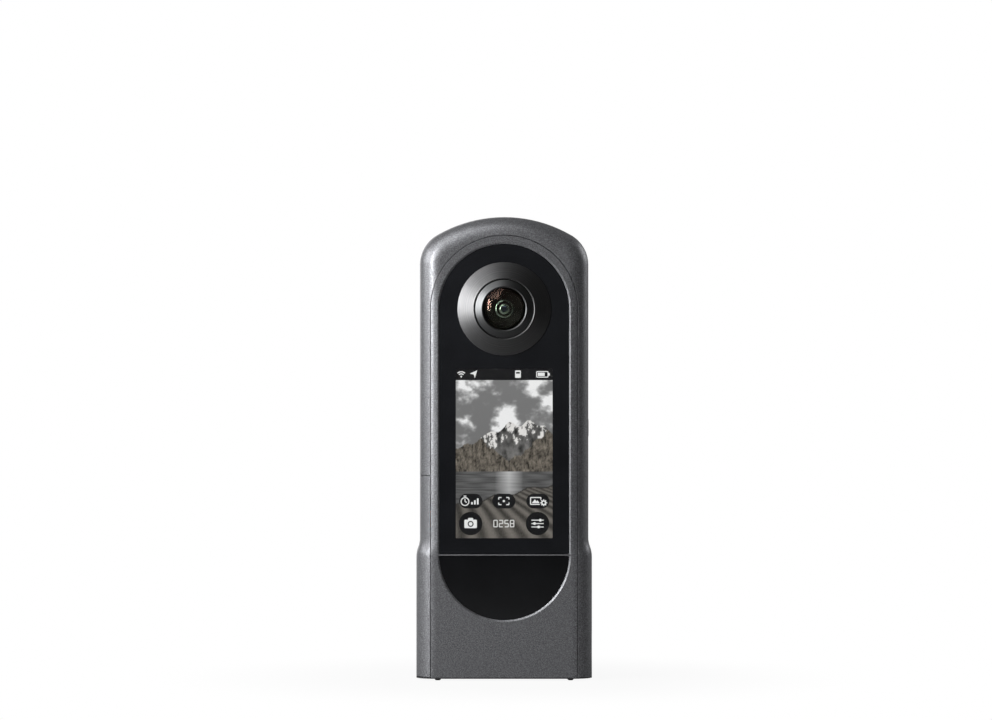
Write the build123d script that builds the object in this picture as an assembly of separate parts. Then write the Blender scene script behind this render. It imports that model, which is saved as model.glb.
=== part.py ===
from build123d import *
import os
from math import acos, asin, atan, degrees, sin, sqrt

# A slim two-lens 360 degree camera, in millimetres, built piece by piece.
# It stands upright with the screen side facing -Y. Heights are measured from the
# underside of the base, and each piece is lifted onto the feet when it is saved, so the
# origin is on the ground under the middle of the body.

# Body
FOOT_STAND = 0.6          # ground to the underside of the base
BODY_HEIGHT = 135.6
DEPTH = 21.5
NECK_HALF = 24.8          # half the width beside the screen
GRIP_STEP = 1.05          # how far the grip stands out past the neck, each side
FLARE_LOW = 35.6          # height where the grip starts to narrow
FLARE_RADIUS = 8.0
TOP_RADIUS = 39.3
SHOULDER_RADIUS = 10.0
EDGE_RADIUS = 5.8         # rounding between the sides and the front or back
INSIDE_BEVEL = 2.6        # bevel inside that rounding
WALL = 1.3
FRONT_WALL = 2.2
BACK_WALL = 1.5
SEAM_INSET = 3.2          # side of the neck to the seam of the front and rear shells
SEAM_GAP = 0.2
TOP_BORDER = 5.5          # top of the body to the top of the seam's arch

# Clearances
FIT = 0.1                 # between fixed pieces that slip into each other
RUN_FIT = 0.05            # between a moving piece and its stop or bore
OVERRUN = 1.0             # how far a cut runs past the face that it opens

# Small screws, posts and bores that are hidden or repeat are drawn with flat sides
SMALL_SIDES = 12

# Cover glass
GLASS_BORDER = 2.64       # seam to the edge of the glass
GLASS_THICK = 1.0
GLASS_SINK = 0.35
RIM_BEVEL = 0.5           # width of the bevel round the glass and the half-moon button

# Display
DISPLAY_BORDER = 3.76     # side of the glass to the side of the display
DISPLAY_OVER_EDGE = 3.05  # lower edge of the glass to the display
DISPLAY_UNDER_TUBE = 3.7  # top of the display to the lens tube
DISPLAY_THICK = 2.1
DISPLAY_EDGE = 2.6        # rim of the tray round the display
DISPLAY_FLOOR = 0.6
DISPLAY_CORNER = 0.8
FLEX_THICK = 0.2
DISPLAY_FLEX_WIDTH = 8.0
DISPLAY_FLEX_INSET = 3.2  # side of the display to the flex
DISPLAY_FLEX_RISE = 6.7   # above the lower edge of the main board

# Half-moon shutter button and its switch
MOON_LOW = 17.3
MOON_HEIGHT = 18.7
BAR_HEIGHT = 0.4          # bar of the front shell between the button and the glass
MOON_GAP = 0.1
MOON_FLANGE = 0.9
MOON_FLANGE_THICK = 0.6
MOON_TRAVEL = 0.5
SWITCH_HEIGHT = 0.85
SWITCH_SIDE = 5.0
PLUNGER_RADIUS = 1.6
SWITCH_DOME = 0.3
SWITCH_DOME_SHARE = 0.5

# Battery and its tray
BAY_AIR = 0.6             # display tray to the battery tray
BAY_WALL = 0.8
BAY_OVER_BUSH = 0.3       # end of the tripod bush to the tray
BATTERY_SIDE_ROOM = 7.8   # right end of the battery to the inside of the right wall
BATTERY_THICK = 8.0
BATTERY_HEIGHT = 40.0
BATTERY_CORNER = 1.5
CONTACT_COUNT = 3
CONTACT_PITCH = 2.6
CONTACT_WIDTH = 0.8
CONTACT_RISE = 18.4       # above the lower end of the battery
CONTACT_TALL = 5.0
CONTACT_BLOCK = 1.8
CONTACT_WINDOW = 1.0

# Battery catch
CATCH_THICK = 1.3
CATCH_WIDTH = 4.0
CATCH_BEHIND_FACE = 0.6   # front face of the battery to the catch
CATCH_HOLD = 2.4          # how much of the battery's end it covers
CATCH_TAIL = 6.5
CATCH_TAIL_THICK = 1.4
CATCH_GAP = 0.2
CATCH_AIR = 0.7           # catch to the latch's plate

# Battery door, its hinge and its latch
DOOR_OVER_CARD = 0.45     # memory card to the seam at the top of the door
HINGE_RADIUS = 1.3
HINGE_INSET = 0.35        # hinge axis ahead of the rear edge's rounding
HINGE_GAP = 0.15
HINGE_LOW = 5.0
KNUCKLES = 2
KNUCKLE_LENGTH = 10.5
KNUCKLE_PITCH = 15.0
PIN_RADIUS = 0.5
PIN_END = 3.0             # pin beyond the end knuckles
LATCH_UNDER_SEAM = 9.4    # middle of the slide to the top of the door
LATCH_LENGTH = 9.5
LATCH_WIDTH = 4.4
LATCH_TRAVEL = 2.6
LATCH_SINK = 0.7          # face of the door to the floor of the latch's pocket
LATCH_RIM = 0.3
LATCH_SHANK_LENGTH = 3.6
LATCH_SHANK_WIDTH = 1.8
LATCH_PLATE = 0.8
LATCH_PLATE_WIDTH = 4.6
LATCH_PLATE_GAP = 0.2
LATCH_PLATE_TAIL = 3.2    # plate below the middle of the slide
LATCH_RIBS = 3
LATCH_RIB_PITCH = 1.6
LATCH_RIB_WIDTH = 0.7
LATCH_RIB_RISE = 0.25

# Memory card and its socket
CARD_LENGTH = 15.0
CARD_WIDTH = 11.0
CARD_THICK = 0.8
CARD_BEHIND_LATCH = 0.6   # latch's plate to the end of the card
CARD_TRAVEL = 0.8
CARD_STANDOUT = 1.7       # card beyond the mouth of its socket
CARD_PLAY = 0.1
CARD_RISE = 0.45          # above the lower edge of the main board
SOCKET_SKIN = 0.3
SOCKET_END = 0.6
SOCKET_THICK = 1.6

# Lens, as radii and as distances along its axis
LENS_STANDOUT = 3.75      # front face of the body to the top of the dome
CONE_RADIUS = 13.7
CONE_RIM = 0.25
CONE_RISE = 1.85
CONE_BORE = 8.75
CONE_LIP = 0.25
CONE_LIP_DROP = 0.1
CONE_TUBE_RADIUS = 12.4
CONE_TUBE_LENGTH = 2.5    # from the glass inwards
CONE_SHOULDER = 0.7
RING_GAP = 0.25
RING_DROP = 0.35          # rim of the ring below the lip of the cone
RING_RISE = 0.9
RING_HEIGHT = 1.65
RING_SKIN = 0.3
RING_SKIN_DROP = 0.12
SEAT_WIDTH = 0.7
DOME_RADIUS = 6.2
DOME_RISE = 1.85
DOME_EDGE = 0.65
DOME_LAND = 1.2
DOME_HOLLOW = 1.3
BAFFLE_BORE = 3.0
BAFFLE_SKIN = 0.4
BARREL_RADIUS = 7.8
BARREL_BORE = 5.0
INNER_LENS_START = 0.8
INNER_LENS_RISE = 0.8
INNER_LENS_THICK = 1.8
RELAY_BACK = 0.75         # relay lens to the end of the barrel
RELAY_RISE = 0.6
RELAY_THICK = 1.8
SENSOR_SIDE = 10.0
SENSOR_THICK = 1.2
SENSOR_GAP = 0.2
SENSOR_BOARD_SIDE = 20.0
SENSOR_BOARD_THICK = 1.0

# Heat plate between the two sensor boards
HEAT_THICK = 0.8
HEAT_WIDTH = 31.0
HEAT_RISE = 12.3          # above the lower edge of the main board
HEAT_ABOVE = 11.5         # above the lens axis

# Inner frame, boards and cans
CHASSIS_THICK = 1.0
CHASSIS_UNDER_LENS = 12.5
WINDOW_LOW = 30.0
WINDOW_HEIGHT = 12.0
WINDOW_WIDTH = 24.0
BOARD_THICK = 0.8
BOARD_OVER_BAY = 0.2
BOARD_SIDE_GAP = 0.3
CAN_RISE = 16.3           # above the lower edge of the main board
CANS_UNDER_LENS = 18.5
CAN_A_LEFT = -3.0
CAN_B_RIGHT = -5.0
CAN_TO_POST = 2.8         # side of a can to the middle of the posts
CAN_B_THICK = 1.7
CAN_CORNER = 1.0
POST_INSET = 4.3          # seam to the middle of the posts
POST_RISE = 14.8          # above the lower edge of the main board
POSTS_UNDER_LENS = 15.5
POST_RADIUS = 2.2
POST_BORE = 0.8
SCREW_HEAD = 1.5
SCREW_HEAD_THICK = 0.6
SCREW_RADIUS = 0.75
SCREW_HOLE = 0.9
SCREW_LENGTH = 4.6
SENSOR_FLEX_WIDTH = 8.0
REAR_FLEX_UNDER_LENS = 14.0
FRONT_FLEX_RISE = 9.3     # above the lower edge of the main board

# Buttons in the right side
POWER_UNDER_LENS = 22.5
POWER_LENGTH = 8.0
POWER_SINK = 0.1          # side of the neck to the face of the power button
MODE_UNDER_LENS = 35.0
MODE_LENGTH = 5.2
MODE_RISE = 0.15
SIDE_BUTTON_WIDTH = 3.2
SIDE_BUTTON_TRAVEL = 0.4
SIDE_BUTTON_FLANGE = 0.6
SIDE_FLANGE_THICK = 0.5
SIDE_SWITCH_HEIGHT = 0.8
SIDE_SWITCH_WIDTH = 3.0
SIDE_BOARD_THICK = 0.8
SIDE_BOARD_WIDTH = 5.2
SIDE_BOARD_BELOW = 7.0    # below the middle of the lower button
SIDE_BOARD_ABOVE = 6.5    # above the middle of the upper button
WING_THICK = 0.8
WING_EDGE = 0.4           # wing beyond the front edge of the side board

# Port in the right side
PORT_HEIGHT = 9.0
PORT_SCOOP = 0.25
PORT_SCOOP_LENGTH = 12.0
PORT_SCOOP_WIDTH = 11.0
PORT_SCOOP_CORNER = 3.0
PORT_LENGTH = 8.9
PORT_WIDTH = 3.2
PORT_DEEP = 7.0
PORT_SKIN = 0.3
PORT_SETBACK = 0.1
PORT_FLOOR = 1.0
TONGUE_LENGTH = 6.6
TONGUE_THICK = 0.7
TONGUE_SETBACK = 0.6
PORT_BOARD_REACH = 4.0    # port's board inwards from the inner frame's wing
PORT_BOARD_BELOW = 6.0    # from the middle of the port
PORT_BOARD_ABOVE = 7.5

# Base
BASE_RIM = 0.35           # edge of the base plate that shows under the shells
BASE_FLOOR = 1.0
BUSH_RADIUS = 4.6
BUSH_BORE = 2.55          # minor radius of a quarter inch, 20 turns per inch thread
BUSH_THREAD = 4.8
BUSH_END = 0.6
BUSH_FLANGE = 7.0
BUSH_FLANGE_THICK = 0.8
FOOT_FROM_SIDE = 6.35
FOOT_INSET = 0.95         # centre of a foot to the inside of the front wall
FOOT_RADIUS = 0.9
FOOT_SEAT = 0.2           # how deep a foot is glued into the base
FOOT_BEVEL = 0.25
BASE_SCREW_STEP = 5.5     # foot to the screw beside it, across the body
BASE_SCREW_HEAD = 1.4
BASE_SCREW_HEAD_THICK = 0.5
BASE_SCREW_RADIUS = 0.6
BASE_SCREW_BORE = 0.65
BASE_SCREW_LENGTH = 3.6
BOSS_WIDTH = 3.4
BOSS_HEIGHT = 3.6
BOSS_REACH = 3.2          # from the inside of the front or rear wall

# Sound, light and antenna
SPEAKER_WIDTH = 20.0
SPEAKER_LOW = 13.0
SPEAKER_HEIGHT = 12.0
SLOTS = 5
SLOT_PITCH = 1.8
SLOT_LENGTH = 9.0
SLOT_WIDTH = 0.8
MIC_FROM_ANTENNA = 2.1
MIC_HOLE = 0.4
MIC_RADIUS = 1.5
MIC_THICK = 1.0
LAMP_UNDER_LENS = 24.5
LAMP_RADIUS = 0.75
LAMP_FLANGE = 1.5
LAMP_FLANGE_THICK = 0.7
ANTENNA_HALF = 8.5
ANTENNA_THICK = 1.2
ANTENNA_DEEP = 8.0

# Planes and places that the pieces share
FRONT = -DEPTH / 2
BACK = DEPTH / 2
FRONT_INSIDE = FRONT + FRONT_WALL
BACK_INSIDE = BACK - BACK_WALL
GRIP_HALF = NECK_HALF + GRIP_STEP
SEAM_HALF = NECK_HALF - SEAM_INSET
GLASS_HALF = SEAM_HALF - GLASS_BORDER
LENS_HEIGHT = BODY_HEIGHT - TOP_BORDER - SEAM_HALF
TOP_CENTRE = BODY_HEIGHT - TOP_RADIUS
FLARE_TURN = acos(1 - GRIP_STEP / (2 * FLARE_RADIUS))
FLARE_HIGH = FLARE_LOW + 2 * FLARE_RADIUS * sin(FLARE_TURN)
GLASS_FACE = FRONT + GLASS_SINK
GLASS_REAR = GLASS_FACE + GLASS_THICK
MOON_TOP = MOON_LOW + MOON_HEIGHT
GLASS_LOW = MOON_TOP + MOON_GAP + BAR_HEIGHT + FIT
DISPLAY_WIDTH = 2 * (GLASS_HALF - DISPLAY_BORDER)
DISPLAY_LOW = GLASS_LOW + DISPLAY_OVER_EDGE
DISPLAY_HIGH = LENS_HEIGHT - CONE_TUBE_RADIUS - DISPLAY_UNDER_TUBE
DISPLAY_REAR = GLASS_REAR + DISPLAY_THICK
TRAY_REAR = DISPLAY_REAR + DISPLAY_FLOOR
NECK_INSIDE = NECK_HALF - WALL
LATCH_PLATE_LEFT = LATCH_PLATE_GAP - NECK_INSIDE
LATCH_PLATE_RIGHT = LATCH_PLATE_LEFT + LATCH_PLATE
CATCH_RIGHT = LATCH_PLATE_RIGHT + CATCH_AIR + CATCH_THICK
BAY_FRONT = TRAY_REAR + BAY_AIR
BATTERY_FRONT = BAY_FRONT + BAY_WALL + FIT
BATTERY_REAR = BATTERY_FRONT + BATTERY_THICK
BAY_REAR = BATTERY_REAR + FIT + BAY_WALL
BAY_LOW = BUSH_THREAD + BUSH_END + BAY_OVER_BUSH
BATTERY_LOW = BAY_LOW + BAY_WALL + FIT
BATTERY_HIGH = BATTERY_LOW + BATTERY_HEIGHT
BATTERY_LEFT = CATCH_RIGHT + CATCH_GAP
BATTERY_RIGHT = NECK_INSIDE - BATTERY_SIDE_ROOM
BAY_RIGHT = BATTERY_RIGHT + FIT
BAY_HIGH = BATTERY_HIGH + FIT + BAY_WALL
CHASSIS_REAR = BAY_REAR + CHASSIS_THICK
CHASSIS_TOP = LENS_HEIGHT - CHASSIS_UNDER_LENS
BOARD_FRONT = BAY_REAR - BOARD_THICK
BOARD_LOW = BAY_HIGH + BOARD_OVER_BAY
CARD_LOW = BOARD_LOW + CARD_RISE
CARD_LEFT = LATCH_PLATE_RIGHT + CARD_BEHIND_LATCH
DOOR_TOP = CARD_LOW + CARD_WIDTH + DOOR_OVER_CARD
LATCH_HEIGHT = DOOR_TOP - LATCH_UNDER_SEAM
FLANGE_FRONT = FRONT_INSIDE + RUN_FIT
MOON_SWITCH_TOP = BAY_FRONT - SWITCH_HEIGHT
HINGE_X = HINGE_RADIUS - GRIP_HALF
HINGE_Y = BACK - EDGE_RADIUS - HINGE_INSET
DOOR_REAR = HINGE_Y - HINGE_RADIUS - HINGE_GAP
RAIL_FRONT = HINGE_Y + HINGE_RADIUS + HINGE_GAP
SIDE_FLANGE_FACE = NECK_INSIDE - RUN_FIT
SIDE_SWITCH_TOP = SIDE_FLANGE_FACE - SIDE_FLANGE_THICK - SIDE_BUTTON_TRAVEL - RUN_FIT
SIDE_BOARD_FACE = SIDE_SWITCH_TOP - SIDE_SWITCH_HEIGHT
SIDE_BOARD_LOW = LENS_HEIGHT - MODE_UNDER_LENS - SIDE_BOARD_BELOW
SIDE_BOARD_HIGH = LENS_HEIGHT - POWER_UNDER_LENS + SIDE_BOARD_ABOVE
WING_FACE = SIDE_BOARD_FACE - SIDE_BOARD_THICK
WING_INSIDE = WING_FACE - WING_THICK
POST_X = SEAM_HALF - POST_INSET
PORT_FACE = GRIP_HALF - PORT_SCOOP - PORT_SETBACK
PORT_BOARD_LEFT = WING_FACE - PORT_BOARD_REACH
PORT_BOARD_FRONT = PORT_WIDTH / 2
FOOT_X = GRIP_HALF - FOOT_FROM_SIDE
BASE_SCREW_X = FOOT_X - BASE_SCREW_STEP


def block(x, y, z):
    """A box from a pair of values along each axis."""
    size = [abs(pair[1] - pair[0]) for pair in (x, y, z)]
    middle = [(pair[0] + pair[1]) / 2 for pair in (x, y, z)]
    return Pos(*middle) * Box(*size)


def slab(outline, y_front, y_back):
    """An outline drawn as seen from the front, made solid between two depths."""
    return extrude(Plane.XZ.offset(-y_back) * outline, amount=y_back - y_front)


def side_slab(outline, x_left, x_right):
    """An outline of depth and height, made solid between two places across the body."""
    return extrude(Plane.YZ.offset(x_left) * outline, amount=x_right - x_left)


def upright(x, y, radius, low, high):
    """A round bar that stands along Z."""
    return Pos(x, y, (low + high) / 2) * Cylinder(radius, high - low)


def small_round(radius):
    return RegularPolygon(radius, SMALL_SIDES)


def small_upright(x, y, radius, low, high):
    """A small flat-sided bar or bore that stands along Z."""
    return Pos(x, y, low) * extrude(small_round(radius), high - low)


def mirrored_pair(value):
    return (-value, value)


def save(name, *solids):
    """Writes one node, with its solids lifted onto the feet."""
    lifted = [Pos(0, 0, FOOT_STAND) * solid for solid in solids]
    shape = lifted[0] if len(lifted) == 1 else Compound(children=lifted)
    export_step(shape, f"parts/{name}.step")


def body_outline(inset, low):
    """The body from the front: grip, flare, neck, shoulders and crown, drawn inset."""
    grip = GRIP_HALF - inset
    neck = NECK_HALF - inset
    lower, upper = FLARE_RADIUS - inset, FLARE_RADIUS + inset
    shoulder_x = NECK_HALF - SHOULDER_RADIUS
    reach = TOP_RADIUS - SHOULDER_RADIUS
    shoulder_z = TOP_CENTRE + sqrt(reach**2 - shoulder_x**2)
    lean = degrees(acos(shoulder_x / reach))
    turn = degrees(FLARE_TURN)
    side = (
        Line((grip, low), (grip, FLARE_LOW))
        + CenterArc((grip - lower, FLARE_LOW), lower, 0, turn)
        + CenterArc((neck + upper, FLARE_HIGH), upper, 180, turn)
        + Line((neck, FLARE_HIGH), (neck, shoulder_z))
        + CenterArc((shoulder_x, shoulder_z), SHOULDER_RADIUS - inset, 0, lean)
    )
    crown = CenterArc((0, TOP_CENTRE), TOP_RADIUS - inset, lean, 180 - 2 * lean)
    return make_face(side + mirror(side, Plane.YZ) + crown + Line((-grip, low), (grip, low)))


def body_form(inset, y_front, y_back, low):
    """The body as a solid, and the edges of its front and back above the base."""
    form = slab(body_outline(inset, low), y_front, y_back)
    ends = form.faces().sort_by(Axis.Y)
    return form, [edge for end in (ends[0], ends[-1]) for edge in end.edges().sort_by(Axis.Z)[1:]]


def arch(half, low, grow=0.0):
    """Straight sides under a half-round top that is concentric with the lens."""
    half, low = half + grow, low - grow
    straight = Pos(0, (low + LENS_HEIGHT) / 2) * Rectangle(2 * half, LENS_HEIGHT - low)
    return straight + Pos(0, LENS_HEIGHT) * Circle(half)


def moon(grow=0.0):
    """Half-moon with its flat side up."""
    centre = MOON_LOW + GLASS_HALF
    top = MOON_TOP + grow
    whole = Pos(0, centre) * Circle(GLASS_HALF + grow)
    tall = top - MOON_LOW + GLASS_HALF
    return whole & Pos(0, top - tall / 2) * Rectangle(4 * GLASS_HALF, tall)


def bevel_cut(outline):
    """A cut that widens from the glass's level out to the face of the shell."""
    flare = degrees(atan(RIM_BEVEL / GLASS_SINK))
    start = Plane.XZ.offset(-GLASS_FACE) * outline
    return extrude(start, amount=GLASS_SINK + RIM_BEVEL, taper=-flare)


def turned(*points):
    """A closed profile of radius and depth, turned round the lens axis."""
    profile = make_face(Polyline(*points, close=True))
    return Pos(0, 0, LENS_HEIGHT) * revolve(profile, Axis.Y)


def cap(radius, rise, y_edge):
    """The solid between a spherical surface, which bulges to the front, and its edge."""
    ball_radius = (radius**2 + rise**2) / (2 * rise)
    ball = Pos(0, y_edge - rise + ball_radius, LENS_HEIGHT) * Sphere(ball_radius)
    disc = slab(Pos(0, LENS_HEIGHT) * Circle(radius), y_edge - 2 * rise, y_edge)
    return ball & disc


os.makedirs("parts", exist_ok=True)

# The casing: one hollow form, parted along the seams
outer, outer_edges = body_form(0, FRONT, BACK, BASE_RIM)
outer = fillet(outer_edges, EDGE_RADIUS)
inner, inner_edges = body_form(WALL, FRONT_INSIDE, BACK_INSIDE, -OVERRUN)
inner = chamfer(inner_edges, INSIDE_BEVEL)
hull = outer - inner
shell_zone = arch(SEAM_HALF - SEAM_GAP / 2, -OVERRUN)
frame_zone = arch(SEAM_HALF + SEAM_GAP / 2, -OVERRUN)

# Front shell with the glass's ledge, the bar under it and the half-moon opening
front_shell = hull & slab(shell_zone, FRONT - OVERRUN, 0)
recess = arch(GLASS_HALF, GLASS_LOW, FIT)
moon_hole = moon(MOON_GAP)
display_place = Pos(0, (DISPLAY_LOW + DISPLAY_HIGH) / 2)
display_tall = DISPLAY_HIGH - DISPLAY_LOW
display_hole = display_place * Rectangle(DISPLAY_WIDTH + 2 * FIT, display_tall + 2 * FIT)
tube_hole = Pos(0, LENS_HEIGHT) * Circle(CONE_TUBE_RADIUS + FIT)
bar_low, bar_high = MOON_TOP + MOON_GAP, GLASS_LOW - FIT
over_bar = block(mirrored_pair(NECK_HALF), (FRONT - OVERRUN, 0), (bar_high, BODY_HEIGHT))
under_bar = block(mirrored_pair(NECK_HALF), (FRONT - OVERRUN, 0), (0, bar_low))
front_shell -= slab(recess, FRONT - OVERRUN, GLASS_REAR)
front_shell -= slab(moon_hole, FRONT - OVERRUN, FRONT_INSIDE + OVERRUN)
front_shell -= slab(display_hole, GLASS_REAR - OVERRUN, FRONT_INSIDE + OVERRUN)
front_shell -= slab(tube_hole, GLASS_REAR - OVERRUN, FRONT_INSIDE + OVERRUN)
front_shell -= bevel_cut(recess) & over_bar
front_shell -= bevel_cut(moon_hole) & under_bar


base_screw_y = (FRONT_INSIDE + BOSS_REACH / 2, BACK_INSIDE - BOSS_REACH / 2)


def base_boss(side, y_wall, y_end):
    """Boss on the inside of a shell that takes one of the base's screws."""
    x = side * BASE_SCREW_X
    low = BASE_RIM + BASE_FLOOR
    boss = block(
        (x - BOSS_WIDTH / 2, x + BOSS_WIDTH / 2), (y_wall, y_end), (low, low + BOSS_HEIGHT)
    )
    y_screw = base_screw_y[y_wall > 0]
    bore = small_upright(x, y_screw, BASE_SCREW_BORE, low - OVERRUN, low + BASE_SCREW_LENGTH)
    return boss - bore


for side in (-1, 1):
    front_shell += base_boss(side, FRONT_INSIDE - RUN_FIT, FRONT_INSIDE + BOSS_REACH)
save("front_shell", front_shell)

# Rear shell: a seat for the lens cone, speaker slots, the lamp's hole and screw posts
rear_shell = hull & slab(shell_zone, 0, BACK + OVERRUN)
cone_seat = Pos(0, LENS_HEIGHT) * Circle(CONE_RADIUS + FIT)
rear_shell -= slab(cone_seat, BACK - GLASS_SINK, BACK + OVERRUN)
rear_shell -= slab(tube_hole, BACK_INSIDE - OVERRUN, BACK + OVERRUN)
lamp_place = Pos(0, LENS_HEIGHT - LAMP_UNDER_LENS)
lamp_hole = lamp_place * Circle(LAMP_RADIUS + FIT)
rear_shell -= slab(lamp_hole, BACK_INSIDE - OVERRUN, BACK + OVERRUN)
speaker_middle = SPEAKER_LOW + SPEAKER_HEIGHT / 2
for row in range(SLOTS):
    slot_height = speaker_middle + (row - (SLOTS - 1) / 2) * SLOT_PITCH
    slot = Rectangle(SLOT_LENGTH, SLOT_WIDTH)
    slot = Pos(0, slot_height) * chamfer(slot.vertices(), SLOT_WIDTH / 3)
    rear_shell -= slab(slot, BACK_INSIDE - OVERRUN, BACK + OVERRUN)
post_heights = (BOARD_LOW + POST_RISE, LENS_HEIGHT - POSTS_UNDER_LENS)
posts = [Pos(side * POST_X, height) for side in (-1, 1) for height in post_heights]
for place in posts:
    rear_shell += slab(place * small_round(POST_RADIUS), CHASSIS_REAR, BACK_INSIDE + RUN_FIT)
    rear_shell -= slab(place * small_round(POST_BORE), CHASSIS_REAR - OVERRUN, BACK_INSIDE)
for side in (-1, 1):
    rear_shell += base_boss(side, BACK_INSIDE + RUN_FIT, BACK_INSIDE - BOSS_REACH)
save("rear_shell", rear_shell)

# Side frame: the band round both sides and the top, with the door's opening and the
# lugs of its hinge
hinge_high = HINGE_LOW + (KNUCKLES - 1) * KNUCKLE_PITCH + KNUCKLE_LENGTH
left_out = -GRIP_HALF - OVERRUN
frame = hull - slab(frame_zone, FRONT - OVERRUN, BACK + OVERRUN)
frame -= block(
    (left_out, -SEAM_HALF),
    (FRONT - OVERRUN, DOOR_REAR + HINGE_GAP),
    (-OVERRUN, DOOR_TOP + SEAM_GAP / 2),
)
frame -= block(
    (left_out, HINGE_X + HINGE_RADIUS + HINGE_GAP),
    (FRONT - OVERRUN, RAIL_FRONT),
    (-OVERRUN, FLARE_HIGH),
)


def hinge_barrel(low, high, y_far):
    """A stretch of hinge barrel with a web to the wall that carries it."""
    barrel = upright(HINGE_X, HINGE_Y, HINGE_RADIUS, low, high)
    return barrel + block((HINGE_X - HINGE_RADIUS, HINGE_X), (HINGE_Y, y_far), (low, high))


knuckle_lows = [HINGE_LOW + turn * KNUCKLE_PITCH for turn in range(KNUCKLES)]
lug_lows = [BASE_RIM] + [low + KNUCKLE_LENGTH + HINGE_GAP for low in knuckle_lows]
lug_highs = [low - HINGE_GAP for low in knuckle_lows] + [FLARE_HIGH + RUN_FIT]
rail_web = RAIL_FRONT + HINGE_GAP
base_top = BASE_RIM + BASE_FLOOR
base_room = inner & block(mirrored_pair(GRIP_HALF), (FRONT, BACK), (0, base_top + FIT))
for low, high in zip(lug_lows, lug_highs):
    frame += (hinge_barrel(low, high, rail_web) & outer) - base_room
pin_low = HINGE_LOW - PIN_END
pin_high = min(hinge_high + PIN_END, FLARE_HIGH)
pin_bore = upright(HINGE_X, HINGE_Y, PIN_RADIUS + RUN_FIT, pin_low - FIT, pin_high + FIT)
frame -= pin_bore

# Openings in the right side of the frame, and the sound holes in its top
right_out = GRIP_HALF + OVERRUN
scoop = Pos(0, PORT_HEIGHT) * RectangleRounded(
    PORT_SCOOP_WIDTH, PORT_SCOOP_LENGTH, PORT_SCOOP_CORNER
)
port_shape = SlotOverall(PORT_LENGTH + 2 * FIT, PORT_WIDTH + 2 * FIT, rotation=90)
frame -= side_slab(scoop, GRIP_HALF - PORT_SCOOP, right_out)
frame -= side_slab(Pos(0, PORT_HEIGHT) * port_shape, GRIP_HALF - WALL - OVERRUN, right_out)
side_buttons = {
    "power_button": (LENS_HEIGHT - POWER_UNDER_LENS, POWER_LENGTH, NECK_HALF - POWER_SINK),
    "mode_button": (LENS_HEIGHT - MODE_UNDER_LENS, MODE_LENGTH, NECK_HALF + MODE_RISE),
}
for height, length, _ in side_buttons.values():
    hole = SlotOverall(length + 2 * FIT, SIDE_BUTTON_WIDTH + 2 * FIT, rotation=90)
    frame -= side_slab(Pos(0, height) * hole, NECK_INSIDE - OVERRUN, right_out)
mic_x = ANTENNA_HALF + MIC_FROM_ANTENNA + MIC_RADIUS
mic_turn = degrees(asin(mic_x / TOP_RADIUS))
mic_places = [Pos(0, 0, TOP_CENTRE) * Rot(0, turn, 0) for turn in mirrored_pair(mic_turn)]
for place in mic_places:
    frame -= place * upright(0, 0, MIC_HOLE, TOP_RADIUS - 2 * WALL, TOP_RADIUS + OVERRUN)
save("side_frame", frame)

# Battery door: the lower left of the band, with its knuckles and the latch's slot
door = hull & block(
    (left_out, -SEAM_HALF - SEAM_GAP / 2),
    (FRONT - OVERRUN, DOOR_REAR),
    (BASE_RIM + SEAM_GAP, DOOR_TOP - SEAM_GAP / 2),
)
latch_pocket = Pos(0, LATCH_HEIGHT + LATCH_TRAVEL / 2) * SlotOverall(
    LATCH_LENGTH + LATCH_TRAVEL + 2 * LATCH_RIM, LATCH_WIDTH + 2 * LATCH_RIM, rotation=90
)
latch_slot = Pos(0, LATCH_HEIGHT + LATCH_TRAVEL / 2) * Rectangle(
    LATCH_SHANK_WIDTH + 2 * FIT, LATCH_SHANK_LENGTH + LATCH_TRAVEL + 2 * FIT
)
door -= side_slab(latch_pocket, left_out, LATCH_SINK - NECK_HALF)
door -= side_slab(latch_slot, left_out, OVERRUN - NECK_INSIDE)
for low in knuckle_lows:
    door += hinge_barrel(low, low + KNUCKLE_LENGTH, DOOR_REAR - HINGE_GAP)
door -= pin_bore
save("battery_door", door)
save("door_hinge_pin", upright(HINGE_X, HINGE_Y, PIN_RADIUS, pin_low, pin_high))

# Latch: a ribbed slide in the door, with a plate inside that locks behind the frame
slide_face = LATCH_RIB_RISE - NECK_HALF
slide_back = LATCH_SINK - NECK_HALF - RUN_FIT
latch = side_slab(
    Pos(0, LATCH_HEIGHT) * SlotOverall(LATCH_LENGTH, LATCH_WIDTH, rotation=90),
    slide_face,
    slide_back,
)
for rib in range(LATCH_RIBS):
    middle = LATCH_HEIGHT + (rib - (LATCH_RIBS - 1) / 2) * LATCH_RIB_PITCH
    latch += block(
        (-NECK_HALF, slide_face),
        mirrored_pair((LATCH_WIDTH - LATCH_RIB_WIDTH) / 2),
        (middle - LATCH_RIB_WIDTH / 2, middle + LATCH_RIB_WIDTH / 2),
    )
latch += block(
    (slide_back, LATCH_PLATE_LEFT),
    mirrored_pair(LATCH_SHANK_WIDTH / 2),
    (LATCH_HEIGHT - LATCH_SHANK_LENGTH / 2, LATCH_HEIGHT + LATCH_SHANK_LENGTH / 2),
)
latch += block(
    (LATCH_PLATE_LEFT, LATCH_PLATE_RIGHT),
    mirrored_pair(LATCH_PLATE_WIDTH / 2),
    (LATCH_HEIGHT - LATCH_PLATE_TAIL, DOOR_TOP - SEAM_GAP),
)
save("door_latch", latch)

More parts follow.
